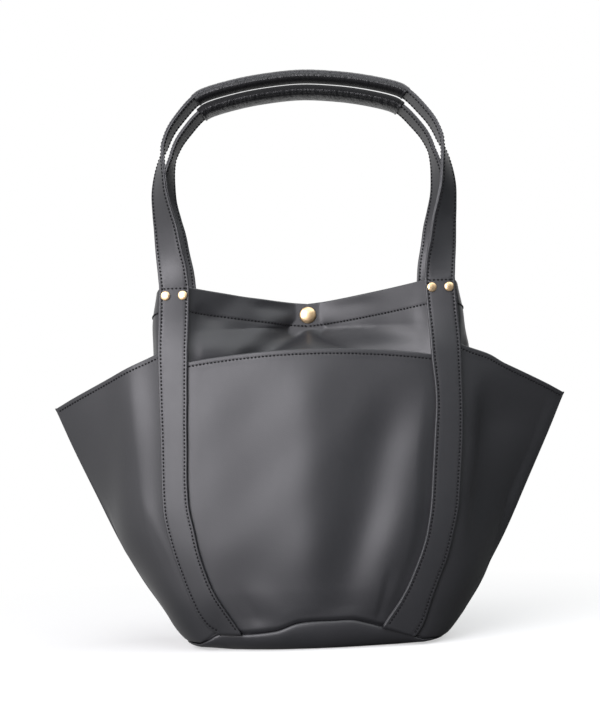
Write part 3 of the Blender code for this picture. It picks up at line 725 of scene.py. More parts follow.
    def grip_start(self) -> float:
        """Share of the handle line at the grip's end.

        Returns:
            The share.
        """
        low, high = 0.5, 1.0
        for _ in range(40):
            middle = (low + high) / 2
            outside = self.handle_point(middle)[0] > self.grip_half_length
            low, high = (middle, high) if outside else (low, middle)
        return low


def maths(operation: str, swapped: bool = False) -> Callable[..., "Socket"]:
    """Make the method behind one of Python's operators.

    Args:
        operation: What the Math node does.
        swapped: Whether the socket is the operator's right-hand value.

    Returns:
        A method that adds the node and gives its output.
    """

    def apply(self: "Socket", other: Any) -> "Socket":
        """Add the Math node."""
        first, second = (other, self) if swapped else (self, other)
        return self.shader.node("ShaderNodeMath", {"operation": operation}, {0: first, 1: second})

    return apply


class Socket:
    """A shader socket on which Python's operators add Math nodes."""

    def __init__(self, shader: "Shader", link: Any) -> None:
        """Keep the tree and the socket."""
        self.shader = shader
        self.link = link

    __add__ = __radd__ = maths("ADD")
    __mul__ = __rmul__ = maths("MULTIPLY")
    __sub__, __rsub__ = maths("SUBTRACT"), maths("SUBTRACT", swapped=True)
    __truediv__ = maths("DIVIDE")
    above, below = maths("MAXIMUM"), maths("MINIMUM")

    def clamped(self) -> "Socket":
        """Value kept between 0 and 1."""
        return self.above(0.0).below(1.0)


class Shader:
    """Node tree of one material, or of the world."""

    def __init__(self, name: str, world: bool = False) -> None:
        """Start a material with its Principled shader, or an empty world.

        Args:
            name: Name of the material or world.
            world: Whether it is a world.
        """
        self.owner = (bpy.data.worlds if world else bpy.data.materials).new(name)
        self.owner.use_nodes = True
        self.tree = self.owner.node_tree
        if world:
            self.tree.nodes.clear()
        self.principled = self.tree.nodes.get("Principled BSDF")

    def put(self, socket: bpy.types.NodeSocket, value: Any) -> None:
        """Link or set one input.

        Args:
            socket: Input socket.
            value: A wrapped output to link, or a value to set.
        """
        if isinstance(value, Socket):
            self.tree.links.new(value.link, socket)
        else:
            socket.default_value = value

    def node(self, kind: str, settings: dict[str, Any] | None = None,
             values: dict[Any, Any] | None = None, output: Any = 0) -> Socket:
        """Add a node.

        Args:
            kind: Blender's name of its type.
            settings: Properties, set before its sockets.
            values: Values or links of its input sockets, by name or number.
            output: Output socket to give back, by name or number.

        Returns:
            The wrapped output.
        """
        node = self.tree.nodes.new(kind)
        for name, value in (settings or {}).items():
            setattr(node, name, value)
        for name, value in (values or {}).items():
            self.put(node.inputs[name], value)
        return Socket(self, node.outputs[output])

    def place(self) -> Socket:
        """Object coordinates."""
        return self.node("ShaderNodeTexCoord", output="Object")

    def noise(self, where: Socket, size: float, detail: float = 2.0, rough: float = 0.5) -> Socket:
        """Noise whose blobs are about a size in metres."""
        values = {"Vector": where, "Scale": 1.0 / size, "Detail": detail, "Roughness": rough}
        return self.node("ShaderNodeTexNoise", None, values)

    def stretch(self, where: Socket, scale: Place) -> Socket:
        """Coordinates stretched along the axes."""
        return self.node("ShaderNodeMapping", None, {"Vector": where, "Scale": scale})

    def mixed(self, share: Any, low: Colour, high: Colour) -> Socket:
        """Colour between two colours."""
        settings = {"data_type": "RGBA"}
        return self.node("ShaderNodeMix", settings, {0: share, 6: (*low, 1.0), 7: (*high, 1.0)}, 2)

    def feed(self, **inputs: Any) -> None:
        """Link or set inputs of the Principled shader, whose spaces are written as _ here."""
        for name, value in inputs.items():
            self.put(self.principled.inputs[name.replace("_", " ")], value)

    def bumped(self, height: Socket, depth: float, strength: float = 1.0) -> None:
        """Feed a height into the normal, with its depth in metres."""
        values = {"Height": height, "Distance": depth, "Strength": strength}
        self.feed(Normal=self.node("ShaderNodeBump", None, values))

    def rays(self, where: Socket, lean: float) -> tuple[Socket, Socket]:
        """Tell the camera's rays, and all those that see a white backdrop.

        Args:
            where: Place or direction that a ray meets.
            lean: How fast what metal sees fades to the right, where it is lit less.

        Returns:
            Share for camera rays, and for camera, transmission and the glossy rays to the back left.
        """
        camera, clear, glossy = (self.node("ShaderNodeLightPath", output="Is " + kind + " Ray")
                                 for kind in ("Camera", "Transmission", "Glossy"))
        behind, across = (self.node("ShaderNodeSeparateXYZ", None, {0: where}, axis) for axis in "YX")
        mirrored = glossy * (behind * 2.0 - across * lean + 0.2).clamped()
        return camera, (camera + clear + mirrored).clamped()


@dataclass(frozen=True)
class FauxLeather:
    """Matte coated fabric that looks like leather."""

    name: str
    dark: Colour = (0.0105, 0.0113, 0.0128)
    light: Colour = (0.0165, 0.0162, 0.0182)
    roughness: float = 0.48
    grain: float = 0.0011
    grain_depth: float = 0.00003

    def build(self) -> bpy.types.Material:
        """Make the material.

        Returns:
            The new material.
        """
        shader = Shader(self.name)
        where = shader.place()
        broad = shader.noise(where, 0.09, 3.0)
        fine = shader.noise(where, 0.004, 4.0, 0.6)
        pebble = shader.node("ShaderNodeTexVoronoi", {"feature": "SMOOTH_F1"},
                             {"Vector": where, "Scale": 1.0 / self.grain, "Smoothness": 0.6})
        tone = (broad * 0.7 + fine * 0.3 - 0.15) * 1.3
        shader.feed(Base_Color=shader.mixed(tone.clamped(), self.dark, self.light),
                    Roughness=(fine - 0.5) * 0.10 + (broad - 0.5) * 0.08 + self.roughness)
        shader.bumped(pebble + fine * 0.8, self.grain_depth)
        return shader.owner


@dataclass(frozen=True)
class GripLeather:
    """Black leather of the grips, wrinkled across the handle, its colour darker down in the wrinkles as
    painted shade.
    """

    name: str = "grip_leather"
    dark: Colour = (0.006, 0.0065, 0.007)
    light: Colour = (0.013, 0.013, 0.014)
    creased: float = 1.0
    roughness: float = 0.24
    specular: float = 0.28
    crease_size: float = 0.0095
    crease_depth: float = 0.0024

    def build(self) -> bpy.types.Material:
        """Make the material.

        Returns:
            The new material.
        """
        shader = Shader(self.name)
        where = shader.place()
        creases = shader.noise(shader.stretch(where, (2.6, 0.8, 0.8)), self.crease_size, 3.0, 0.6)
        pores = shader.noise(where, 0.0008, 3.0, 0.6)
        # The colour follows the wrinkles' bump: darker in their valleys and lighter on their crests, painted
        # shade and light.
        shader.feed(Base_Color=shader.mixed((creases * 1.4 - 0.2).clamped(), self.dark, self.light),
                    Roughness=creases * 0.16 + self.roughness, Specular_IOR_Level=self.specular)
        shader.bumped(creases * self.creased + pores * 0.1, self.crease_depth)
        return shader.owner


@dataclass(frozen=True)
class WovenLining:
    """Plain woven lining and the knit back of the faux leather."""

    name: str
    dark: Colour = (0.035, 0.036, 0.039)
    light: Colour = (0.085, 0.086, 0.09)
    thread: float = 0.0007

    def build(self) -> bpy.types.Material:
        """Make the material.

        Returns:
            The new material.
        """
        shader = Shader(self.name)
        where = shader.place()
        bands = [{"wave_type": "BANDS", "bands_direction": way} for way in "ZX"]
        values = {"Vector": where, "Scale": 0.32 / self.thread, "Distortion": 0.6, "Detail": 1.0}
        weft, warp = (shader.node("ShaderNodeTexWave", band, values, "Fac") for band in bands)
        weave = weft * 0.5 + warp * 0.5
        cloudy = shader.noise(where, 0.03, 3.0)
        shader.feed(Base_Color=shader.mixed((weave * 0.7 + cloudy * 0.3).clamped(), self.dark, self.light),
                    Roughness=cloudy * 0.1 + 0.78)
        shader.bumped(weave, 0.00012, 0.7)
        return shader.owner


@dataclass(frozen=True)
class AntiqueBrass:
    """Brass with a warm, slightly worn finish."""

    name: str = "antique_brass"
    bright: Colour = (0.80, 0.60, 0.36)
    worn: Colour = (0.52, 0.33, 0.17)

    def build(self) -> bpy.types.Material:
        """Make the material.

        Returns:
            The new material.
        """
        shader = Shader(self.name)
        where = shader.place()
        patches = shader.noise(where, 0.004, 4.0, 0.6)
        scratches = shader.noise(shader.stretch(where, (1.0, 1.0, 5.0)), 0.0012, 3.0)
        shader.feed(Base_Color=shader.mixed((patches * 1.6 - 0.45).clamped(), self.bright, self.worn),
                    Metallic=1.0, Roughness=patches * 0.16 + scratches * 0.08 + 0.26)
        shader.bumped(patches * 0.6 + scratches, 0.00003, 0.6)
        return shader.owner


@dataclass(frozen=True)
class WaxedThread:
    """Black stitching thread with a slight twist."""

    name: str = "black_thread"
    colour: Colour = (0.004, 0.004, 0.0045)

    def build(self) -> bpy.types.Material:
        """Make the material.

        Returns:
            The new material.
        """
        shader = Shader(self.name)
        fuzz = shader.noise(shader.place(), 0.0006, 2.0)
        lighter = tuple(channel * 2.2 for channel in self.colour)
        shader.feed(Base_Color=shader.mixed(fuzz, self.colour, lighter), Roughness=fuzz * 0.1 + 0.75,
                    Specular_IOR_Level=0.12)
        shader.bumped(fuzz, 0.00008, 0.6)
        return shader.owner


def made_by(finish: Any) -> Any:
    """Field whose material a finish makes."""
    return field(default_factory=finish.build)


@dataclass
class Finishes:
    """Materials that the pieces share."""

    skirt: bpy.types.Material = made_by(FauxLeather("charcoal_faux_leather"))
    strap: bpy.types.Material = made_by(FauxLeather("strap_faux_leather", grain=0.0009))
    grip: bpy.types.Material = made_by(GripLeather())
    # Darker copy of the grip leather, with less wrinkle and a duller sheen, for one arc of each grip: its
    # dark colour is painted shade where the lamps leave the grip dark.
    grip_smooth_painted_shade: bpy.types.Material = made_by(GripLeather(
        "grip_smooth_leather", (0.003, 0.003, 0.0035), (0.006, 0.006, 0.0065), 0.06, 0.5, 0.1))
    lining: bpy.types.Material = made_by(WovenLining("grey_lining"))
    backing: bpy.types.Material = made_by(
        WovenLining("knit_backing", (0.03, 0.03, 0.032), (0.06, 0.06, 0.063), 0.0005))
    brass: bpy.types.Material = made_by(AntiqueBrass())
    thread: bpy.types.Material = made_by(WaxedThread())


@dataclass
class StitchRow:
    """Path of one row of stitches and the outward direction along it."""

    points: Points
    normals: Points


@dataclass
class Stitcher:
    """Geometry Nodes that lay thread stitches along rows."""

    thread: bpy.types.Material
    form: BagForm
    pitch: float = 0.0032
    length: float = 0.0022
    radius: float = 0.0008
    lift: float = 0.00022
    seed: int = 7
    wobble: Place = (0.04, 0.05, 0.07)
    beside: float = 0.002

    def tree(self) -> bpy.types.NodeTree:
        """Build the node tree, with named inputs for its sizes.

        Returns:
            The node tree.
        """
        tree = bpy.data.node_groups.new("stitches", "GeometryNodeTree")
        sockets = {"Geometry": "Geometry", "Pitch": "Float", "Length": "Float", "Radius": "Float",
                   "Seed": "Int"}
        for name, kind in sockets.items():
            tree.interface.new_socket(name, in_out="INPUT", socket_type="NodeSocket" + kind)
        tree.interface.new_socket("Geometry", in_out="OUTPUT", socket_type="NodeSocketGeometry")

        def add(kind: str, settings: dict[str, Any] | None = None, inputs: dict[int, Any] | None = None,
                **named: Any) -> Any:
            """Add a node with its settings and the links or values of its sockets; give its outputs.

            Args:
                kind: Blender's name of its type.
                settings: Properties, set before its sockets.
                inputs: Links or values by number.
                **named: Links or values by name.

            Returns:
                The node's outputs.
            """
            node = tree.nodes.new(kind)
            for name, value in (settings or {}).items():
                setattr(node, name, value)
            for name, value in {**(inputs or {}), **named}.items():
                if isinstance(value, bpy.types.NodeSocket):
                    tree.links.new(value, node.inputs[name])
                else:
                    node.inputs[name].default_value = value
            return node.outputs

        group = add("NodeGroupInput")
        curve = add("GeometryNodeMeshToCurve", Mesh=group["Geometry"])
        dots = add("GeometryNodeResampleCurve", {"mode": "LENGTH"}, Curve=curve[0], Length=group["Pitch"])
        ball = add("GeometryNodeMeshUVSphere", Segments=8, Rings=6, Radius=1.0)
        size = add("ShaderNodeCombineXYZ", X=group["Length"], Y=group["Radius"], Z=group["Radius"])
        halved = add("ShaderNodeVectorMath", {"operation": "MULTIPLY"}, {0: size[0], 1: (0.5, 1.0, 1.0)})
        stitch = add("GeometryNodeTransform", Geometry=ball["Mesh"], Scale=halved[0])
        tangent = add("GeometryNodeInputTangent")
        normal = add("GeometryNodeInputNamedAttribute", {"data_type": "FLOAT_VECTOR"}, Name="outward")
        along = add("FunctionNodeAlignRotationToVector", {"axis": "X"}, Vector=tangent[0])
        facing = add("FunctionNodeAlignRotationToVector", {"axis": "Z", "pivot_axis": "X"},
                     Rotation=along[0], Vector=normal["Attribute"])
        laid = add("GeometryNodeInstanceOnPoints", Points=dots[0], Instance=stitch[0], Rotation=facing[0])
        limits = {0: tuple(-angle for angle in self.wobble), 1: self.wobble}
        dice = add("FunctionNodeRandomValue", {"data_type": "FLOAT_VECTOR"}, limits, Seed=group["Seed"])
        tilted = add("GeometryNodeRotateInstances", Instances=laid[0], Rotation=dice[0])
        real = add("GeometryNodeRealizeInstances", Geometry=tilted[0])
        smooth = add("GeometryNodeSetShadeSmooth", Geometry=real[0])
        dressed = add("GeometryNodeSetMaterial", Geometry=smooth[0], Material=self.thread)
        add("NodeGroupOutput", inputs={0: dressed[0]})
        return tree

    def row(self, grid: Callable[[Points, Points], tuple[Points, ...]], across: Points, share: float,
            turn: Points, raised: float = 1.0) -> StitchRow:
        """Row along a panel at one share of its height.

        Args:
            grid: Gives the panel's points and normals for places across and shares of its height.
            across: Places across the panel.
            share: Share of its height.
            turn: Signs that turn the panel to its own side.
            raised: How far the thread stands out, as a multiple of the usual lift.

        Returns:
            The row.
        """
        near = np.array([-self.beside, 0.0, self.beside])
        points, normals = (found[1] for found in grid(*np.meshgrid(across, share + near))[:2])
        return StitchRow((points + normals * self.lift * raised) * turn, normals * turn)

    def sew(self, name: str, rows: Sequence[StitchRow]) -> bpy.types.Object:
        """Lay stitches along rows and make one plain mesh of them.

        Args:
            name: Name of the piece.
            rows: Rows to follow.

        Returns:
            The finished piece.
        """
        mesh = bpy.data.meshes.new(name + "_rows")
        points, normals, edges = [], [], []
        for row in rows:
            start, stop = len(points), len(points) + len(row.points) - 1
            edges += [(index, index + 1) for index in range(start, stop)]
            points += self.form.settled(row.points).tolist()
            normals += row.normals.tolist()
        mesh.from_pydata(points, edges, [])
        attribute = mesh.attributes.new("outward", "FLOAT_VECTOR", "POINT")
        attribute.data.foreach_set("vector", np.array(normals, np.float32).ravel())
        path = linked(name + "_rows", mesh)
        modifier = path.modifiers.new("stitches", "NODES")
        modifier.node_group = bpy.data.node_groups.get("stitches") or self.tree()
        sizes = {"Pitch": self.pitch, "Length": self.length, "Radius": self.radius, "Seed": self.seed}
        for item in modifier.node_group.interface.items_tree:
            if item.in_out == "INPUT" and item.name in sizes:
                modifier[item.identifier] = sizes[item.name]
        made = as_seen(path)
        path.modifiers.remove(modifier)
        bpy.data.objects.remove(path)
        made.name = name
        made.materials.clear()
        made.materials.append(self.thread)
        piece = linked(name, made)
        LOG.info("%s: %d faces", name, len(made.polygons))
        return piece


@dataclass
class Workshop:
    """What every sub-assembly is made with, and how its shells become pieces."""

    form: BagForm
    finishes: Finishes
    stitcher: Stitcher
    groove: tuple[float, float] = (0.0002, 0.0009)

    def pressed(self, off: Points) -> Points:
        """Depth of the groove of a stitch row, by the distance from it."""
        depth, width = self.groove
        return depth * bump(off, width)

    def piece(self, shell: Shell, name: str, slot: str, outside: bpy.types.Material,
              inside: bpy.types.Material | None = None) -> bpy.types.Object:
        """Make the object of a shell, which settles as the whole bag does.

        Args:
            shell: Its faces.
            name: Name of the piece.
            slot: Material slot of the record that it stands for; not used.
            outside: Material of its faces.
            inside: Material of its inner faces, where it differs, such as a sheet's backing or a grip's
                painted shade.

        Returns:
            The new object, at the origin.
        """
        mesh = bpy.data.meshes.new(name)
        mesh.from_pydata(self.form.settled(shell.points).tolist(), [], shell.faces)
        mesh.materials.append(outside)
        if inside is not None:
            mesh.materials.append(inside)
            indices = np.zeros(len(shell.faces), np.int32)
            indices[sorted(shell.inner)] = 1
            mesh.polygons.foreach_set("material_index", indices)
        mesh.shade_smooth()
        if shell.normals is not None:
            mesh.normals_split_custom_set_from_vertices(shell.normals.tolist())
        mesh.validate()
        piece = linked(name, mesh)
        LOG.info("%s: %d faces", name, len(shell.faces))
        return piece


@dataclass
class Skirt(Workshop):
    """Outer skirt: two pocket panels between the straps and a pointed wing on each side."""

    columns: int = 200
    reach: float = 1.86
    stitch_drop: float = 0.0034
    hem_fold: float = 0.0095
    hem_puff: float = 0.0003
    hem_wall: float = 0.0007
    tuck: float = 0.0016
    tuck_height: float = 0.0045
    pocket_swell: float = 0.00045
    wing_swell: float = 0.0006
    nose_bulge: float = 0.9

    FRONT_FOLDS = (
        Fold((0.020, 0.036), (0.070, 0.214), 0.022, -0.0038, 0.0, (0.3, 0.4)),
        Fold((0.049, 0.036), (0.113, 0.205), 0.022, 0.0026, 0.0, (0.3, 0.5)),
        Fold((-0.004, 0.030), (-0.001, 0.235), 0.022, 0.0017, 0.0, (0.5, 0.4)),
        Fold((-0.055, 0.030), (-0.055, 0.240), 0.032, -0.0017, 0.0, (0.5, 0.4)),
        Fold((0.052, 0.022), (0.062, 0.062), 0.0045, -0.0011, 0.4, (0.4, 0.8)),
        Fold((-0.050, 0.022), (-0.066, 0.050), 0.006, -0.0006, 0.0, (0.4, 0.8)),
        Fold((-0.020, 0.018), (-0.048, 0.052), 0.010, 0.0007, 0.0, (0.4, 0.8)),
    )
    BACK_FOLDS = (
        Fold((0.020, 0.030), (0.034, 0.220), 0.028, -0.0018, 0.0, (0.5, 0.7)),
        Fold((-0.055, 0.050), (-0.066, 0.215), 0.022, 0.0012, 0.2, (0.5, 0.6)),
        Fold((0.058, 0.022), (0.068, 0.060), 0.005, -0.0008, 0.4, (0.4, 0.8)),
    )
    WING_FOLDS = {
        Hand.LEFT: (
            Fold((-0.160, 0.078), (-0.154, 0.250), 0.022, 0.0044, 0.3, (0.35, 0.4)),
            Fold((-0.088, 0.020), (-0.136, 0.120), 0.007, 0.0014, 0.3, (0.5, 0.6)),
        ),
        Hand.RIGHT: (
            Fold((0.155, 0.098), (0.165, 0.215), 0.026, -0.0080, 0.45, (0.6, 0.5)),
            Fold((0.122, 0.090), (0.129, 0.235), 0.004, 0.0009, 0.0, (0.5, 0.6)),
            Fold((0.090, 0.020), (0.128, 0.110), 0.008, 0.0010, 0.0, (0.5, 0.6)),
        ),
    }

    def finished(self, points: Points, free: Points, lift: Points, up: Points, height: Any,
                 hem: float) -> tuple[Points, Points, Points]:
        """Lift a panel's folds, thicken its hem, press its stitch row in and turn its bottom edge in.

        Args:
            points: Grid of the plain panel.
            free: How freely each point may move, from 0 to 1.
            lift: How far the folds lift each point.
            up: Each point's share of the height.
            height: Height of the panel.
            hem: How strong the hem is, from 0 to 1.

        Returns:
            Points, normals, and how far each point is below the top edge.
        """
        points = points + grid_normals(points) * (lift * free)[..., None]
        normals = grid_normals(points)
        drop = (1.0 - up) * height
        puff = self.hem_puff * ease((self.hem_fold - drop) / self.hem_fold)
        points = points + normals * ((puff - self.pressed(drop - self.stitch_drop)) * hem)[..., None]
        tuck = self.tuck * (1.0 - ease(up * height / self.tuck_height)) ** 2
        points = points - normals * tuck[..., None]
        return points, grid_normals(points), drop

    def pocket_grid(self, side: Side, across: Points, up: Points) -> tuple[Points, Points, Points]:
        """Outer face of a pocket panel as finished() gives it, before it is turned to the back.

        Args:
            side: Front or back.
            across: Place across, as for BagForm.skin().
            up: Share of the height.

        Returns:
            Points, normals, and how far each point is below the top edge.
        """
        form = self.form
        bottom = form.rim(across) + form.seam_gap
        top = form.pocket_height - form.pocket_arch * np.minimum(np.abs(across), 1.0) ** 2
        points = form.skin(across, level(bottom, top, up))
        folds, seed = (self.FRONT_FOLDS, 3) if side is Side.FRONT else (self.BACK_FOLDS, 4)
        lift = folded(folds, form.settled(points)) * ease(up / 0.06)
        lift = lift + self.pocket_swell * wander(points, 0.055, seed) * ease(up / 0.2)
        return self.finished(points, ease((1.0 - np.abs(across)) / 0.14), lift, up, top - bottom, 1.0)

    def make_pocket(self, side: Side) -> None:
        """Pocket panel with its hem and stitches.

        Args:
            side: Front or back.
        """
        rows = spaced((0.0, 0.04, 8), (0.04, 0.94, 102), (0.94, 1.0, 30))
        across, up = np.meshgrid(np.linspace(-self.reach, self.reach, self.columns), rows)
        points, normals, drop = self.pocket_grid(side, across, up)
        hem = ease((self.hem_fold - drop) / 0.001) * ease((1.02 - np.abs(across)) / 0.2)
        shell = thick_sheet(points, self.form.skirt_wall + self.hem_wall * hem, normals).mirrored(side.turn)
        name = side.word + "_pocket"
        piece = self.piece(shell, name, "charcoal_pu", self.finishes.skirt, self.finishes.backing)
        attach(piece, "bag")
        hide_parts(side.word + "_pocket_panel")
        share = 1.0 - self.stitch_drop / (self.form.pocket_height - self.form.rim_front)
        across = np.linspace(-0.985, 0.985, 240)
        row = self.stitcher.row(partial(self.pocket_grid, side), across, share, side.turn)
        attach(self.stitcher.sew(name + "_stitches", [row]), "bag")

    def wing_grid(self, side: Side, hand: Hand, around: Points,
                  up: Points) -> tuple[Points, Points, Points]:
        """Outer face of a wing with the folds of its own side and hand, before it is turned there.

        Args:
            side: Front or back.
            hand: Left or right.
            around: 0 at the strap, below it under the strap, and 1 at the outer edge.
            up: Share of the height.

        Returns:
            Points, normals, and how far each point is below the top edge.
        """
        form = self.form
        strap = form.skin(3.0 + around, level(form.rim_strap + form.seam_gap, form.wing_root_height, up))
        wing = form.wing(np.maximum(around, 0.0), up)
        wing[..., 1] -= (form.fit + form.skirt_wall * (1.0 - WING_ROUND(up))) * ease(around)
        wing[..., 2] += form.seam_gap * (1.0 - up)
        points = np.where((around < 0.0)[..., None], strap, wing)
        mirrored = points * hand.turn
        strength, seed = (1.0, 11) if side is Side.FRONT else (0.6, 16)
        seed += hand is Hand.RIGHT
        free = ease(around / 0.26) * ease((1.0 - around) / 0.14) * ease(up / 0.10) * strength
        lift = folded(self.WING_FOLDS[hand], mirrored) + self.wing_swell * wander(mirrored, 0.06, seed)
        return self.finished(points, free, lift, up, form.wing_root_height - form.rim_strap, 0.8)

    def make_wing(self, hand: Hand) -> None:
        """Wing: front and back halves in one shell, joined at the narrow seam of its outer edge.

        Args:
            hand: Left or right.
        """
        up = spaced((0.0, 0.04, 7), (0.04, 0.94, 70), (0.94, 1.0, 26))
        around = np.concatenate([[-0.84, -0.6, -0.3], spaced((0.0, 0.94, 76), (0.94, 1.0, 8))])
        columns, rows = np.meshgrid(around, up)
        front, _, drop = self.wing_grid(Side.FRONT, hand, columns, rows)
        rear = self.wing_grid(Side.BACK, hand, columns, rows)[0] * FLIP_Y
        middle, half = (front[:, -1] + rear[:, -1]) / 2, (rear[:, -1] - front[:, -1]) / 2
        out = np.array([1.0, 0.0, 0.0]) * np.linalg.norm(half, axis=-1, keepdims=True) * self.nose_bulge
        nose = [middle + half * math.sin(angle) + out * math.cos(angle)
                for angle in np.radians([-62.0, -35.0, 0.0, 35.0, 62.0])]
        points = np.concatenate([front, np.stack(nose, 1), rear[:, ::-1]], axis=1)
        drops = np.concatenate([drop, np.repeat(drop[:, -1:], len(nose), 1), drop[:, ::-1]], axis=1)
        hem = ease((self.hem_fold - drops) / 0.001)
        spread = np.minimum(1.0, np.abs(points[..., 1]) / 0.012)
        wall = self.form.skirt_wall * (0.75 + 0.25 * spread) + 0.0005 * hem * spread
        shell = thick_sheet(points, wall).mirrored(hand.turn)
        name = "wing_" + hand.word
        piece = self.piece(shell, name, "charcoal_pu", self.finishes.skirt, self.finishes.backing)
        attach(piece, "bag")
        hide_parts("wing_front_" + hand.word, "wing_back_" + hand.word)
        share = 1.0 - self.stitch_drop / (self.form.wing_root_height - self.form.rim_strap)
        across = np.linspace(0.01, 0.975, 150)
        stitch_rows = [
            self.stitcher.row(partial(self.wing_grid, side, hand), across, share, side.turn * hand.turn)
            for side in Side
        ]
        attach(self.stitcher.sew(name + "_stitches", stitch_rows), "bag")

    def build(self) -> None:
        """Make the pockets and the wings."""
        for side in Side:
            self.make_pocket(side)
        for hand in Hand:
            self.make_wing(hand)


@dataclass
class InnerBag(Workshop):
    """Main bag in four quarters, each with its hem and lining, which meet in the two lips at the snap."""

    swell: float = 0.0007
    hem_puff: float = 0.00015
    free_height: float = 0.246
    snap_clear: float = 0.0085
    lining_depth: float = 0.0027
    lining_wall: float = 0.0006
    lining_top: float = 0.926
    raised_thread: float = 1.7

    FRONT_FOLDS = (
        Fold((-0.004, 0.282), (-0.060, 0.2505), 0.0085, -0.0060, 0.0, (0.4, 0.4)),
        Fold((-0.024, 0.294), (-0.092, 0.258), 0.018, 0.0050, 0.0, (0.5, 0.5)),
        Fold((0.002, 0.2815), (0.052, 0.2535), 0.0065, -0.0020, -0.3, (0.5, 0.5)),
        Fold((0.000, 0.280), (0.002, 0.250), 0.006, 0.0012, 0.0, (0.5, 0.6)),
        Fold((-0.098, 0.300), (-0.080, 0.288), 0.006, -0.0014, 0.2, (0.5, 0.7)),
        Fold((0.098, 0.292), (0.060, 0.280), 0.012, 0.0014, 0.0, (0.6, 0.7)),
        Fold((0.014, 0.297), (0.060, 0.302), 0.006, -0.0010, 0.0, (0.6, 0.7)),
        Fold((-0.014, 0.297), (-0.050, 0.302), 0.006, -0.0016, 0.0, (0.6, 0.7)),
    )
    BACK_FOLDS = (
        Fold((-0.004, 0.284), (-0.048, 0.252), 0.009, -0.0048, 0.3, (0.5, 0.6)),
        Fold((0.004, 0.284), (0.046, 0.250), 0.009, -0.0056, -0.3, (0.5, 0.6)),
        Fold((0.000, 0.284), (-0.003, 0.250), 0.008, 0.0026, 0.0, (0.5, 0.6)),
        Fold((0.096, 0.290), (0.076, 0.264), 0.007, -0.0014, 0.0, (0.5, 0.7)),
    )

    def steps(self) -> tuple[Points, Points]:
        """Columns from the middle of one side round the front to the other, and rows up to the mouth.

        Returns:
            Place across and share of the height, for each point of the grid.
        """
        half = np.concatenate([spaced((0.0, 1.0, 76), (1.0, 3.0, 28)), np.linspace(3.0, 4.0, 24)[1:]])
        rows = spaced((0.0, 0.70, 26), (0.70, 0.92, 34), (0.92, 1.0, 26))
        return np.meshgrid(np.concatenate([-half[:0:-1], half]), rows)

    def plain(self, across: Points, up: Points) -> tuple[Points, Points]:
        """Outer face of the front half without its folds, and its height at each column.

        Args:
            across: Place across, as for grid().
            up: Share of the height.

        Returns:
            Points and heights.
        """
        form = self.form
        reach = np.abs(across)
        bottom = form.rim(np.minimum(reach, 1.0)) + form.seam_gap
        mouth = form.mouth(across)
        panel = form.main_front(np.clip(across, -3.0, 3.0), level(bottom, mouth, up))
        flank = form.main_side(np.clip(reach - 3.0, 0.0, 1.0), up)
        flank[..., 0] *= np.sign(across)
        points = np.where((reach > 3.0)[..., None], flank, panel)
        inward = form.layer_step(points[..., 2]) * ease((reach - 3.0) / 0.4)
        points = points - grid_normals(points) * inward[..., None]
        for _ in range(3):
            smoothed = points.copy()
            smoothed[:, 1:-1] = (points[:, :-2] + points[:, 2:]) / 2
            points = level(points, smoothed, bump(reach - 3.0, 0.3)[..., None])
        points[:, 0, 1] = points[:, -1, 1] = 0.0
        return points, mouth - bottom

    def grid(self, side: Side, across: Points, up: Points) -> tuple[Points, Points, Points]:
        """Outer face of the front half of the main bag, before it is turned to the back.

        Args:
            side: Which side's folds it has.
            across: 0 in the middle, as for BagForm.skin(), and 3 to 4 round the side.
            up: Share of the height.

        Returns:
            Points, normals, and how far each point is below the mouth's edge.
        """
        form = self.form
        reach = np.abs(across)
        points, height = self.plain(across, up)
        folds, seed = (self.FRONT_FOLDS, 21) if side is Side.FRONT else (self.BACK_FOLDS, 22)
        from_snap = np.hypot(points[..., 0], points[..., 2] - form.snap_height)
        free = ease((1.0 - reach) / 0.12) * ease((points[..., 2] - self.free_height) / 0.012)
        free = free * ease((from_snap - self.snap_clear) / 0.010)
        lift = folded(folds, points) + self.swell * wander(points, 0.035, seed)
        points = points + grid_normals(points) * (lift * free)[..., None]
        lip = (form.lip_half_gap + form.hem_wall) * ease(4.0 - reach) * (reach < 3.9)
        points[..., 1] = np.minimum(points[..., 1], -lip)
        drop = (1.0 - up) * height
        puff = self.hem_puff * ease((form.hem_height - drop) / 0.002) * ease(reach * 3.0)
        thicker = (puff - self.pressed(drop - form.hem_height)) * (reach < 3.97)
        points = points + grid_normals(points) * thicker[..., None]
        return points, grid_normals(points), drop

    def blended(self, piece: bpy.types.Object, side: Side, hand: Hand) -> None:
        """Bake a piece's transform into its mesh.

        Args:
            piece: Quarter of the bag or lining, or its stitches.
            side: Front or back; not used.
            hand: Left or right; not used.
        """
        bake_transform(piece)

    def make_quarters(self, side: Side) -> None:
        """Main bag and lining on one side, split down the middle.

        Args:
            side: Front or back.
        """
        form = self.form
        columns, rows = self.steps()
        points, normals, drop = self.grid(side, columns, rows)
        normals[:, [0, -1], 1] = 0.0
        normals = unit(normals)
        hem = ease((form.hem_height + 0.0006 - drop) / 0.0012)
        wall = level(form.main_wall, form.hem_wall, hem)
        middle = columns.shape[1] // 2
        lined = rows[:, 0] < self.lining_top
        inner = points - normals * self.lining_depth
        inner[..., 1] = np.where(np.abs(columns) > 3.99, 0.0, inner[..., 1])
        for hand, part in ((Hand.LEFT, slice(0, middle + 1)), (Hand.RIGHT, slice(middle, None))):
            place = side.word + "_" + hand.word
            shell = thick_sheet(points[:, part], wall[:, part], normals[:, part], open_ends=True)
            piece = self.piece(shell.mirrored(side.turn), "inner_bag_" + place, "charcoal_pu",
                               self.finishes.skirt, self.finishes.backing)
            self.blended(piece, side, hand)
            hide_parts("main_" + side.word + "_panel", side.word + "_hem", "main_side_" + hand.word)
            shell = thick_sheet(inner[lined, part], self.lining_wall, normals[lined, part], open_ends=True)
            piece = self.piece(shell.mirrored(side.turn), "lining_" + place, "lining", self.finishes.lining)
            self.blended(piece, side, hand)
            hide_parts("lining_" + side.word)

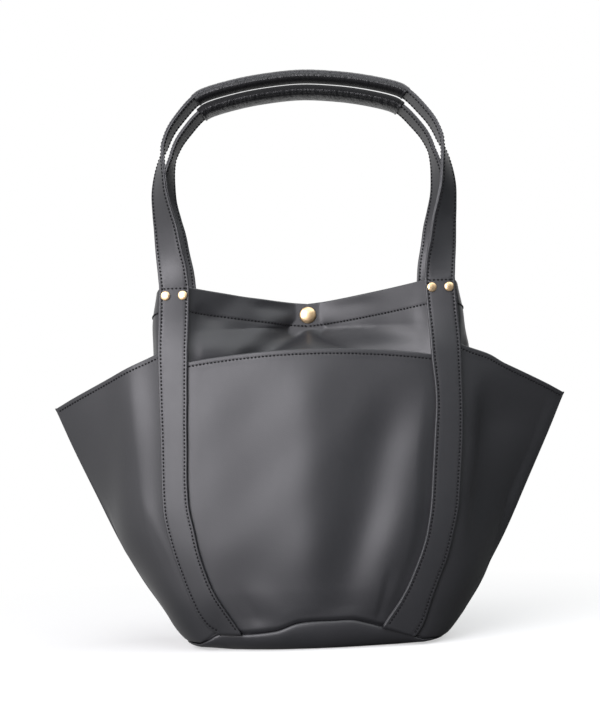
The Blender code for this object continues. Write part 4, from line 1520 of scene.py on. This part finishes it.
    def make_stitches(self, side: Side) -> None:
        """Row of stitches along the bottom of the hem, all the way round.

        Args:
            side: Front or back.
        """
        share = 1.0 - self.form.hem_height / (self.form.mouth_height - self.form.rim_front)
        for hand in Hand:
            across = np.concatenate([np.linspace(0.02, 3.0, 260), np.linspace(3.0, 3.97, 40)[1:]])
            across = across if hand is Hand.RIGHT else -across[::-1]
            row = self.stitcher.row(partial(self.grid, side), across, share, side.turn, self.raised_thread)
            stitches = self.stitcher.sew("mouth_stitches_" + side.word + "_" + hand.word, [row])
            self.blended(stitches, side, hand)

    def build(self) -> None:
        """Make both sides."""
        for side in Side:
            self.make_quarters(side)
            self.make_stitches(side)


@dataclass
class Base(Workshop):
    """Outer base, which bulges a little under its seam, and the lining's base."""

    def rim(self) -> Points:
        """Outline of the base seam, all the way round.

        Returns:
            Points in order, each once.
        """
        form = self.form
        front = np.linspace(0.0, 1.0, 24, endpoint=False)
        panel = form.skin(front, form.rim(front))
        strap = form.skin(np.linspace(1.0, 3.0, 10, endpoint=False), np.full(10, form.rim_strap))
        end = form.wing(np.linspace(0.0, 1.0, 24), 0.0)
        quarter = np.concatenate([panel, strap, end])
        half = np.concatenate([quarter, quarter[-2::-1] * FLIP_Y])
        return np.concatenate([half, half[-2:0:-1] * FLIP_X])

    def make_dish(self, name: str, slot: str, finish: bpy.types.Material, angles: Sequence[float],
                  wall: float, narrowing: float = 0.0, floor: float = 0.0, rise: float = 0.0,
                  bulge: float = 0.0) -> bpy.types.Object:
        """Dish with a flat floor and a turned-up rim, and a wall on its inside.

        Args:
            name: Name of the piece.
            slot: Material slot that it stands for.
            finish: Its material.
            angles: How far the rim has turned up at each ring, in degrees.
            wall: Thickness of the wall.
            narrowing: How far it stays inside the base seam.
            floor: Height of its floor.
            rise: How far its edge stands above the base seam.
            bulge: How far it swells under its edge, as a share of its size.

        Returns:
            The finished piece.
        """
        outline = self.rim()
        size = np.array([outline[:, 0].max(), outline[:, 1].max()])
        rings = []
        for angle in np.radians(angles):
            share = level(self.form.base_flat, 1.0, math.sin(angle))
            swell = 1.0 + bulge * math.sin(angle * 1.6) if angle < math.radians(89.0) else 1.0
            flat = outline[:, :2] * share * swell * (size - narrowing) / size
            height = level(floor, outline[:, 2] + rise, 1.0 - math.cos(angle))
            rings.append(np.column_stack([flat, height]))
        rings = [rings[0] * np.array([share, share, 1.0]) for share in (0.25, 0.5, 0.75)] + rings
        faces = [tuple(range(len(outline)))[::-1]] + ring_faces(len(rings), len(outline))
        piece = self.piece(Shell(np.concatenate(rings), faces), name, slot, finish)
        if sum(face.normal.z * face.area for face in piece.data.polygons) > 0.0:
            piece.data.flip_normals()
        solid = piece.modifiers.new("wall", "SOLIDIFY")
        solid.thickness, solid.offset = wall, -1.0
        bpy.context.view_layer.update()
        made = as_seen(piece)
        piece.modifiers.clear()
        piece.data = made
        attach(piece, "bag")
        return piece

    def build(self) -> None:
        """Make both bases."""
        angles = (0, 12, 25, 38, 50, 60, 70, 78, 84, 90)
        piece = self.make_dish("base", "charcoal_pu", self.finishes.skirt, angles, 0.0016, bulge=0.012)
        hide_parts("base_panel", "base_board")
        angles = (0, 20, 40, 60, 75, 90)
        piece = self.make_dish("lining_base", "lining", self.finishes.lining, angles, 0.0006,
                               narrowing=0.0062, floor=0.0052, rise=0.0015)
        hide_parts("lining_base_panel")


@dataclass
class Straps(Workshop):
    """A strap that runs up one side of the body, over as a handle and down again, with its grip."""

    stitch_in: float = 0.0026
    stitch_sink: float = 0.00005
    widening: float = 0.06
    over_pad: float = 0.0029
    sewn_rings: int = 96
    free_rings: int = 150
    grip_wall: float = 0.0013
    pad: float = 0.0054
    grip_power: float = 2.0 / 2.3
    ripple: float = 0.036
    waves: int = 9

    WAVE_SPANS = ((60.0, 260.0), (0.0, 6.28), (-3.0, 3.0))
    ROLL = {Side.FRONT: 11.0, Side.BACK: -13.0}
    GRIP_ROLL = {Side.FRONT: -5.0, Side.BACK: -9.0}
    # Arc of each grip's section, in degrees, that takes the darker leather as painted shade; it lies on a
    # different side of each grip.
    SMOOTH_PAINTED_SHADE = {Side.FRONT: (90.0, 262.0), Side.BACK: (262.0, 352.0)}

    def outline(self) -> Points:
        """Closed outline, each corner once, running round from the middle of the outer face.

        Returns:
            Places across the strap and out of its middle plane.
        """
        half, wall = self.form.strap_width / 2, self.form.strap_wall / 2
        stitch = half - self.stitch_in
        quarter = [
            (half * 0.3, wall + 0.0001), (half * 0.55, wall + 0.00007), (stitch - 0.0014, wall),
            (stitch - 0.0007, wall - 0.00012), (stitch, wall - 0.0002), (stitch + 0.0007, wall - 0.00012),
            (stitch + 0.0013, wall), (half - 0.0005, wall - 0.0001), (half - 0.00012, wall - 0.0004),
            (half, wall - 0.0008), (half - 0.00012, wall - 0.00115),
        ]
        right = quarter + [(half - 0.0006, 0.0)] + [(across, -out) for across, out in reversed(quarter)]
        left = [(-across, -out) for across, out in right]
        return np.array([(0.0, wall + 0.00022)] + right + [(0.0, -wall - 0.00022)] + left)

    def sewn_ring(self, height: float, section: Points) -> tuple[Points, Points]:
        """Section of the right strap where it is sewn to the body, and its outward direction.

        Args:
            height: Height above the ground.
            section: Places across the strap and out of its middle plane.

        Returns:
            Points of the section, and the direction out of the strap.
        """
        form = self.form
        wide = 1.0 + self.widening * float(ease((height - 0.22) / 0.05))
        points = form.skin(2.0 - section[:, 0] / (form.strap_width / 2), height)
        points[:, 0] = level(form.strap_centre(height), points[:, 0], wide)
        near = form.skin(np.array([1.6, 2.4]), height)
        over = form.skin(2.0, np.array([height - 0.002, height + 0.002]))
        normal = unit(np.cross(near[1] - near[0], over[1] - over[0]))
        return points + normal * (form.seam_gap + form.strap_wall / 2 + section[:, 1:2]), normal

    def free_ring(self, share: float, section: Points, side: Side) -> tuple[Points, Points]:
        """Section of the strap along the right half of a handle, and its outward direction.

        Args:
            share: Share of the way from the hinge to the top.
            section: Places across the strap and out of its middle plane.
            side: Front or back.

        Returns:
            Points of the section, and the direction out of the strap.
        """
        form = self.form
        point, width, way = form.handle_frame(share, self.ROLL[side])
        rise = (point[2] - form.hinge_height) / form.handle_rise
        wide = 1.0 + self.widening * (1.0 - float(ease((rise - 0.1) / 0.4)))
        point = point - way * self.over_pad * float(ease((rise - 0.6) / 0.25))
        return point + width * wide * section[:, 0:1] + way * section[:, 1:2], way

    def rings(self, section: Points, side: Side, stop: float = 1.0) -> tuple[Points, Points]:
        """Rings and outward directions from the base seam up to a share of the handle.

        Args:
            section: Places across the strap and out of its middle plane.
            side: Front or back.
            stop: Share of the handle at which it ends.

        Returns:
            Points of every section, and the directions out of the strap.
        """
        low = self.form.rim_strap + self.form.seam_gap - 0.0006
        heights = np.linspace(low, self.form.hinge_height - self.form.hinge_relief, self.sewn_rings)
        made = [self.sewn_ring(float(height), section) for height in heights]
        shares = np.linspace(0.0, stop, self.free_rings)
        made += [self.free_ring(float(share), section, side) for share in shares]
        return np.array([ring for ring, _ in made]), np.array([way for _, way in made])

    def bend(self, piece: bpy.types.Object, side: Side) -> None:
        """Bake the transform of a strap or its stitches into the mesh."""
        depth = side.value * self.form.strap_face
        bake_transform(piece)

    def make_strap(self, side: Side) -> None:
        """Whole strap of one side with its rows of stitches.

        Args:
            side: Front or back.
        """
        rings, _ = self.rings(self.outline(), side)
        shell = tube(np.concatenate([rings, rings[-2::-1] * FLIP_X])).mirrored(side.turn)
        piece = self.piece(shell, side.word + "_strap", "charcoal_pu", self.finishes.strap)
        self.bend(piece, side)
        sewn = "strap_" + side.word
        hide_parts(sewn + "_left", sewn + "_right", side.word + "_handle_strap")
        stitch = self.form.strap_width / 2 - self.stitch_in
        face = self.form.strap_wall / 2
        paths = []
        for across in (-stitch, stitch):
            for out in (1.0, -1.0):
                section = np.array([(across, out * (face - self.stitch_sink))])
                rings, ways = self.rings(section, side, self.form.grip_start() * 0.995)
                start = 2 if out > 0.0 else self.sewn_rings - 2
                paths.append((rings[start:, 0], ways[start:] * out))
        section = np.array([(across, face + 0.0001) for across in np.linspace(-stitch, stitch, 12)[1:-1]])
        ring, normal = self.sewn_ring(self.form.mouth_height + 0.0002, section)
        paths.append((ring, np.repeat(normal[None], len(ring), 0)))
        turns = (side.turn, side.turn * FLIP_X)
        rows = [StitchRow(path * turn, way * turn) for path, way in paths for turn in turns]
        self.bend(self.stitcher.sew(side.word + "_strap_stitches", rows), side)

    def make_grip(self, side: Side) -> None:
        """Leather wrapped round the strap and its pad, with fine wrinkles, a seam underneath and painted
        shade in a darker leather along one arc.

        Args:
            side: Front or back.
        """
        form = self.form
        half_width = form.strap_width / 2 + form.fit + self.grip_wall
        high = form.strap_wall / 2 + form.fit + self.grip_wall
        low = -(form.strap_wall / 2 + 3 * form.fit + self.pad + self.grip_wall)
        angles = np.linspace(0.0, FULL_TURN, 56, endpoint=False)
        centre = np.array([0.0, (high + low) / 2])
        circle = np.column_stack([np.sin(angles), np.cos(angles)])
        outline = np.sign(circle) * np.abs(circle) ** self.grip_power
        outline = outline * np.array([half_width, (high - low) / 2])
        half = [form.handle_frame(float(share), self.GRIP_ROLL[side])
                for share in np.linspace(form.grip_start(), 1.0, 120)]
        frames = half + [tuple(vector * FLIP_X for vector in frame_here) for frame_here in half[-2::-1]]
        dice = np.random.default_rng(31 if side is Side.FRONT else 32)
        waves = [tuple(dice.uniform(*span) for span in self.WAVE_SPANS) for _ in range(self.waves)]

        def bell(middle: float, width: float) -> Points:
            """Bell round the outline, about one of its angles."""
            return bump(np.angle(np.exp(1j * (angles - middle))), width)

        def ring(index: int, scale: Any) -> Points:
            """Outline at one frame of the grip, scaled about its centre.

            Args:
                index: Number of the frame.
                scale: One scale, or one for each point.

            Returns:
                The points.
            """
            point, width, way = frames[index]
            shape = outline * scale + centre
            return point + width * shape[:, 0:1] + way * shape[:, 1:2]

        seam = 1.0 - 0.10 * bell(4.0, 0.06)
        rings = [ring(0, 0.80)]
        for index, offset in enumerate(np.linspace(-1.0, 1.0, len(frames))):
            wrinkle = sum(np.sin(offset * rate + phase + angles * lean) for rate, phase, lean in waves)
            wrinkle = wrinkle / self.waves
            swell = 1.0 - 0.04 * bump(abs(offset) - 0.93, 0.04)
            scale = (1.0 + self.ripple * wrinkle * bell(0.9, 0.9) + 0.006 * wrinkle) * swell * seam
            rings.append(ring(index, scale[:, None] * level(0.93, 1.0, ease((1.0 - abs(offset)) / 0.02))))
        rings.append(ring(-1, 0.80))
        shell = tube(np.array(rings))
        # Faces of that arc are told apart as inner, so they get the darker leather: painted shade.
        first, last = np.radians(self.SMOOTH_PAINTED_SHADE[side])
        smooth = np.flatnonzero((angles >= first) & (angles < last))
        starts = np.arange(len(rings) - 1)[:, None] * len(angles)
        shell.inner = set((starts + smooth).ravel().tolist())
        piece = self.piece(shell.mirrored(side.turn), side.word + "_grip", "grip_leather",
                           self.finishes.grip, self.finishes.grip_smooth_painted_shade)
        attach(piece, side.word + "_handle")
        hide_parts(side.word + "_handle_grip", side.word + "_handle_pad")

    def build(self) -> None:
        """Make both straps and grips."""
        for side in Side:
            self.make_strap(side)
            self.make_grip(side)


@dataclass
class Hardware(Workshop):
    """Rivets and the snap."""

    steps: int = 40
    rivet_radius: float = 0.0041
    rivet_post: float = 0.0013
    rivet_foot: float = 0.0036
    snap_radius: float = 0.0075
    snap_post: float = 0.0015
    lean: float = 6.0

    def turned(self, node: str, profile: Sequence[tuple[float, float]], place: Place, side: Side,
               body: str, lean: float = 0.0) -> None:
        """Turn a profile about an axis that points out of the front or back.

        Args:
            node: CAD node that the piece replaces.
            profile: Pairs of radius and height, from the tip of the axis down to its foot.
            place: Point on the axis at height 0.
            side: Which way the axis points.
            body: Body that it rides on.
            lean: How far it faces to +X, in degrees.
        """
        angles = np.linspace(0.0, FULL_TURN, self.steps, endpoint=False)
        wide = profile[1:-1]
        rings = [place_at(np.cos(angles) * radius, -height, np.sin(angles) * radius)
                 for radius, height in wide]
        tip, foot = ([[0.0, -profile[end][1], 0.0]] for end in (0, -1))
        count = len(wide) * self.steps
        faces = ring_faces(len(wide), self.steps)
        for index in range(self.steps):
            after = (index + 1) % self.steps
            last = count - self.steps
            faces += [(after, index, count), (last + index, last + after, count + 1)]
        shell = outward(Shell(np.concatenate([*rings, tip, foot]), faces))
        spin = math.radians(lean)
        around = np.array([[math.cos(spin), math.sin(spin), 0.0], [-math.sin(spin), math.cos(spin), 0.0],
                           [0.0, 0.0, 1.0]])
        shell.points = shell.points @ around
        shell = shell.mirrored(side.turn)
        shell.points = shell.points + np.array(place)
        piece = self.piece(shell, "dressed_" + node, "brass", self.finishes.brass)
        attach(piece, body)
        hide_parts(node)

    @staticmethod
    def dome(radius: float, rise: float, lift: float, steps: int = 9) -> list[tuple[float, float]]:
        """Profile of a dome from its tip to its rounded rim.

        Args:
            radius: Radius of its rim.
            rise: Height of its tip above the rim.
            lift: Height of the rim.
            steps: Number of steps.

        Returns:
            Pairs of radius and height.
        """
        angles = [math.pi / 2 * step / steps for step in range(steps + 1)]
        shape = [(radius * math.sin(angle), lift + rise * math.cos(angle)) for angle in angles]
        return shape + [(radius * 0.995, lift - 0.0002), (radius * 0.96, lift - 0.0004)]

    def build(self) -> None:
        """Make the eight rivets and the two caps of the snap."""
        form = self.form
        height = form.mouth_height - form.rivet_drop
        back = -(form.strap_wall + form.seam_gap + form.main_wall + 2 * form.fit)
        profile = self.dome(self.rivet_radius, 0.0011, 0.0009) + [
            (self.rivet_post, 0.0003), (self.rivet_post, back), (self.rivet_foot, back),
            (self.rivet_foot, back - 0.0009), (self.rivet_foot - 0.0004, back - 0.0011),
            (0.0, back - 0.0011),
        ]
        for side in Side:
            face = side.value * (float(form.depth(height)) + form.seam_gap + form.strap_wall)
            for hand in Hand:
                for step, word in ((-1.0, "inner"), (1.0, "outer")):
                    x = hand.value * (float(form.strap_centre(height)) + step * form.rivet_spacing / 2)
                    node = "_".join(("rivet", side.word, hand.word, word))
                    self.turned(node, profile, (x, face, height), side, "bag", hand.value * self.lean)
        cap = self.dome(self.snap_radius, 0.0026, 0.0007, 12)
        cap += [(self.snap_post, 0.0003), (self.snap_post, -0.0024), (0.0, -0.0024)]
        for side in Side:
            place = (0.0, side.value * (form.lip_half_gap + form.hem_wall), form.snap_height)
            self.turned("snap_" + side.word + "_cap", cap, place, side, side.word + "_lip")
        for node in ("snap_socket", "snap_stud"):
            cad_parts[node].data.materials.clear()
            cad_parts[node].data.materials.append(self.finishes.brass)


@dataclass
class Studio:
    """Floor, lamps, world and camera."""

    distance: float = 1.8
    eye_height: float = 0.2524
    shift_x: float = -0.0083
    roll: float = 1.9
    lens: float = 100.0
    fill: float = 0.035
    floor_half: float = 20.0

    WHITE = (1.0, 1.0, 1.0, 1.0)
    DIM = (0.93, 0.96, 1.0, 1.0)
    FLOOR_LIT = (0.13, 0.13, 0.13)
    FLOOR_SEEN = (0.82, 0.82, 0.82)
    LAMPS = {
        "key_softbox": ((-0.9, -1.78, 0.50), (-0.03, 0.0, 0.22), (1.2, 1.4), 71.0, (1.0, 0.975, 1.03)),
        "side_softbox": ((1.7, -1.5, 0.6), (0.1, 0.0, 0.2), (1.2, 1.4), 3.0, (0.95, 0.98, 1.0)),
        "left_softbox": ((-1.5, -1.1, 1.45), (0.0, 0.0, 0.3), (0.9, 0.9), 24.0, (1.0, 0.98, 1.02)),
        "top_softbox": ((0.6, -0.5, 1.6), (0.0, 0.0, 0.3), (3.0, 2.0), 54.0, (0.96, 0.985, 1.0)),
    }

    def make_camera(self) -> None:
        """Put the camera where the photograph's was."""
        data = bpy.data.cameras.new("camera")
        data.lens, data.sensor_width, data.clip_end = self.lens, 36.0, 100.0
        camera = linked("camera", data)
        camera.location = (self.shift_x, -self.distance, self.eye_height)
        camera.rotation_euler = (math.radians(90.0), math.radians(self.roll), 0.0)
        bpy.context.scene.camera = camera

    def make_lamps(self) -> None:
        """Rectangular softboxes, each given as place, aim, size, power and colour."""
        for name, (place, aim, size, power, colour) in self.LAMPS.items():
            data = bpy.data.lights.new(name, "AREA")
            data.shape = "RECTANGLE"
            data.size, data.size_y = size
            data.energy, data.color = power, colour
            lamp = linked(name, data)
            lamp.location = place
            lamp.rotation_euler = (Vector(aim) - Vector(place)).to_track_quat("-Z", "Y").to_euler()

    def make_floor(self) -> None:
        """Wide pale floor that keeps the bag's shadow and fades to white away from it."""
        half = self.floor_half
        mesh = bpy.data.meshes.new("floor")
        corners = [(-half, -half, 0), (half, -half, 0), (half, half, 0), (-half, half, 0)]
        mesh.from_pydata(corners, [], [(0, 1, 2, 3)])
        shader = Shader("floor")
        where = shader.place()
        far = shader.node("ShaderNodeVectorMath", {"operation": "LENGTH"}, {0: where}, "Value")
        fade = ((far - 0.18) / 0.4).clamped() * 0.5 + 0.5
        camera, seen = shader.rays(where, 4.0)
        shader.feed(Base_Color=shader.mixed(camera, self.FLOOR_LIT, self.FLOOR_SEEN), Roughness=0.9,
                    Specular_IOR_Level=0.0)
        white = shader.node("ShaderNodeEmission", None, {"Color": self.WHITE, "Strength": 1.0})
        plain = Socket(shader, shader.principled.outputs[0])
        mix = shader.node("ShaderNodeMixShader", None, {0: fade * seen, 1: plain, 2: white})
        shader.put(shader.tree.nodes["Material Output"].inputs[0], mix)
        mesh.materials.append(shader.owner)
        linked("floor", mesh)

    def make_world(self) -> None:
        """White backdrop for the camera, metal and glass, and a dim even fill for the light."""
        shader = Shader("studio", world=True)
        _, seen = shader.rays(shader.node("ShaderNodeTexCoord"), 1.5)
        dim = shader.node("ShaderNodeBackground", None, {"Color": self.DIM, "Strength": self.fill})
        white = shader.node("ShaderNodeBackground", None, {"Color": self.WHITE, "Strength": 1.0})
        mix = shader.node("ShaderNodeMixShader", None, {0: seen, 1: dim, 2: white})
        shader.put(shader.tree.nodes.new("ShaderNodeOutputWorld").inputs[0], mix)
        bpy.context.scene.world = shader.owner

    def build(self) -> None:
        """Make the whole studio."""
        self.make_camera()
        self.make_floor()
        self.make_world()
        self.make_lamps()
        bpy.context.scene.view_settings.view_transform = "Standard"


def main() -> None:
    """Dress the bag and set the studio."""
    logging.basicConfig(level=logging.INFO, format="%(name)s %(message)s")
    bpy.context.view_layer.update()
    form, finishes = BagForm(), Finishes()
    Studio().build()
    for sub_assembly in (Skirt, InnerBag, Base, Straps, Hardware):
        sub_assembly(form, finishes, Stitcher(finishes.thread, form)).build()


if __name__ == "__main__":
    main()
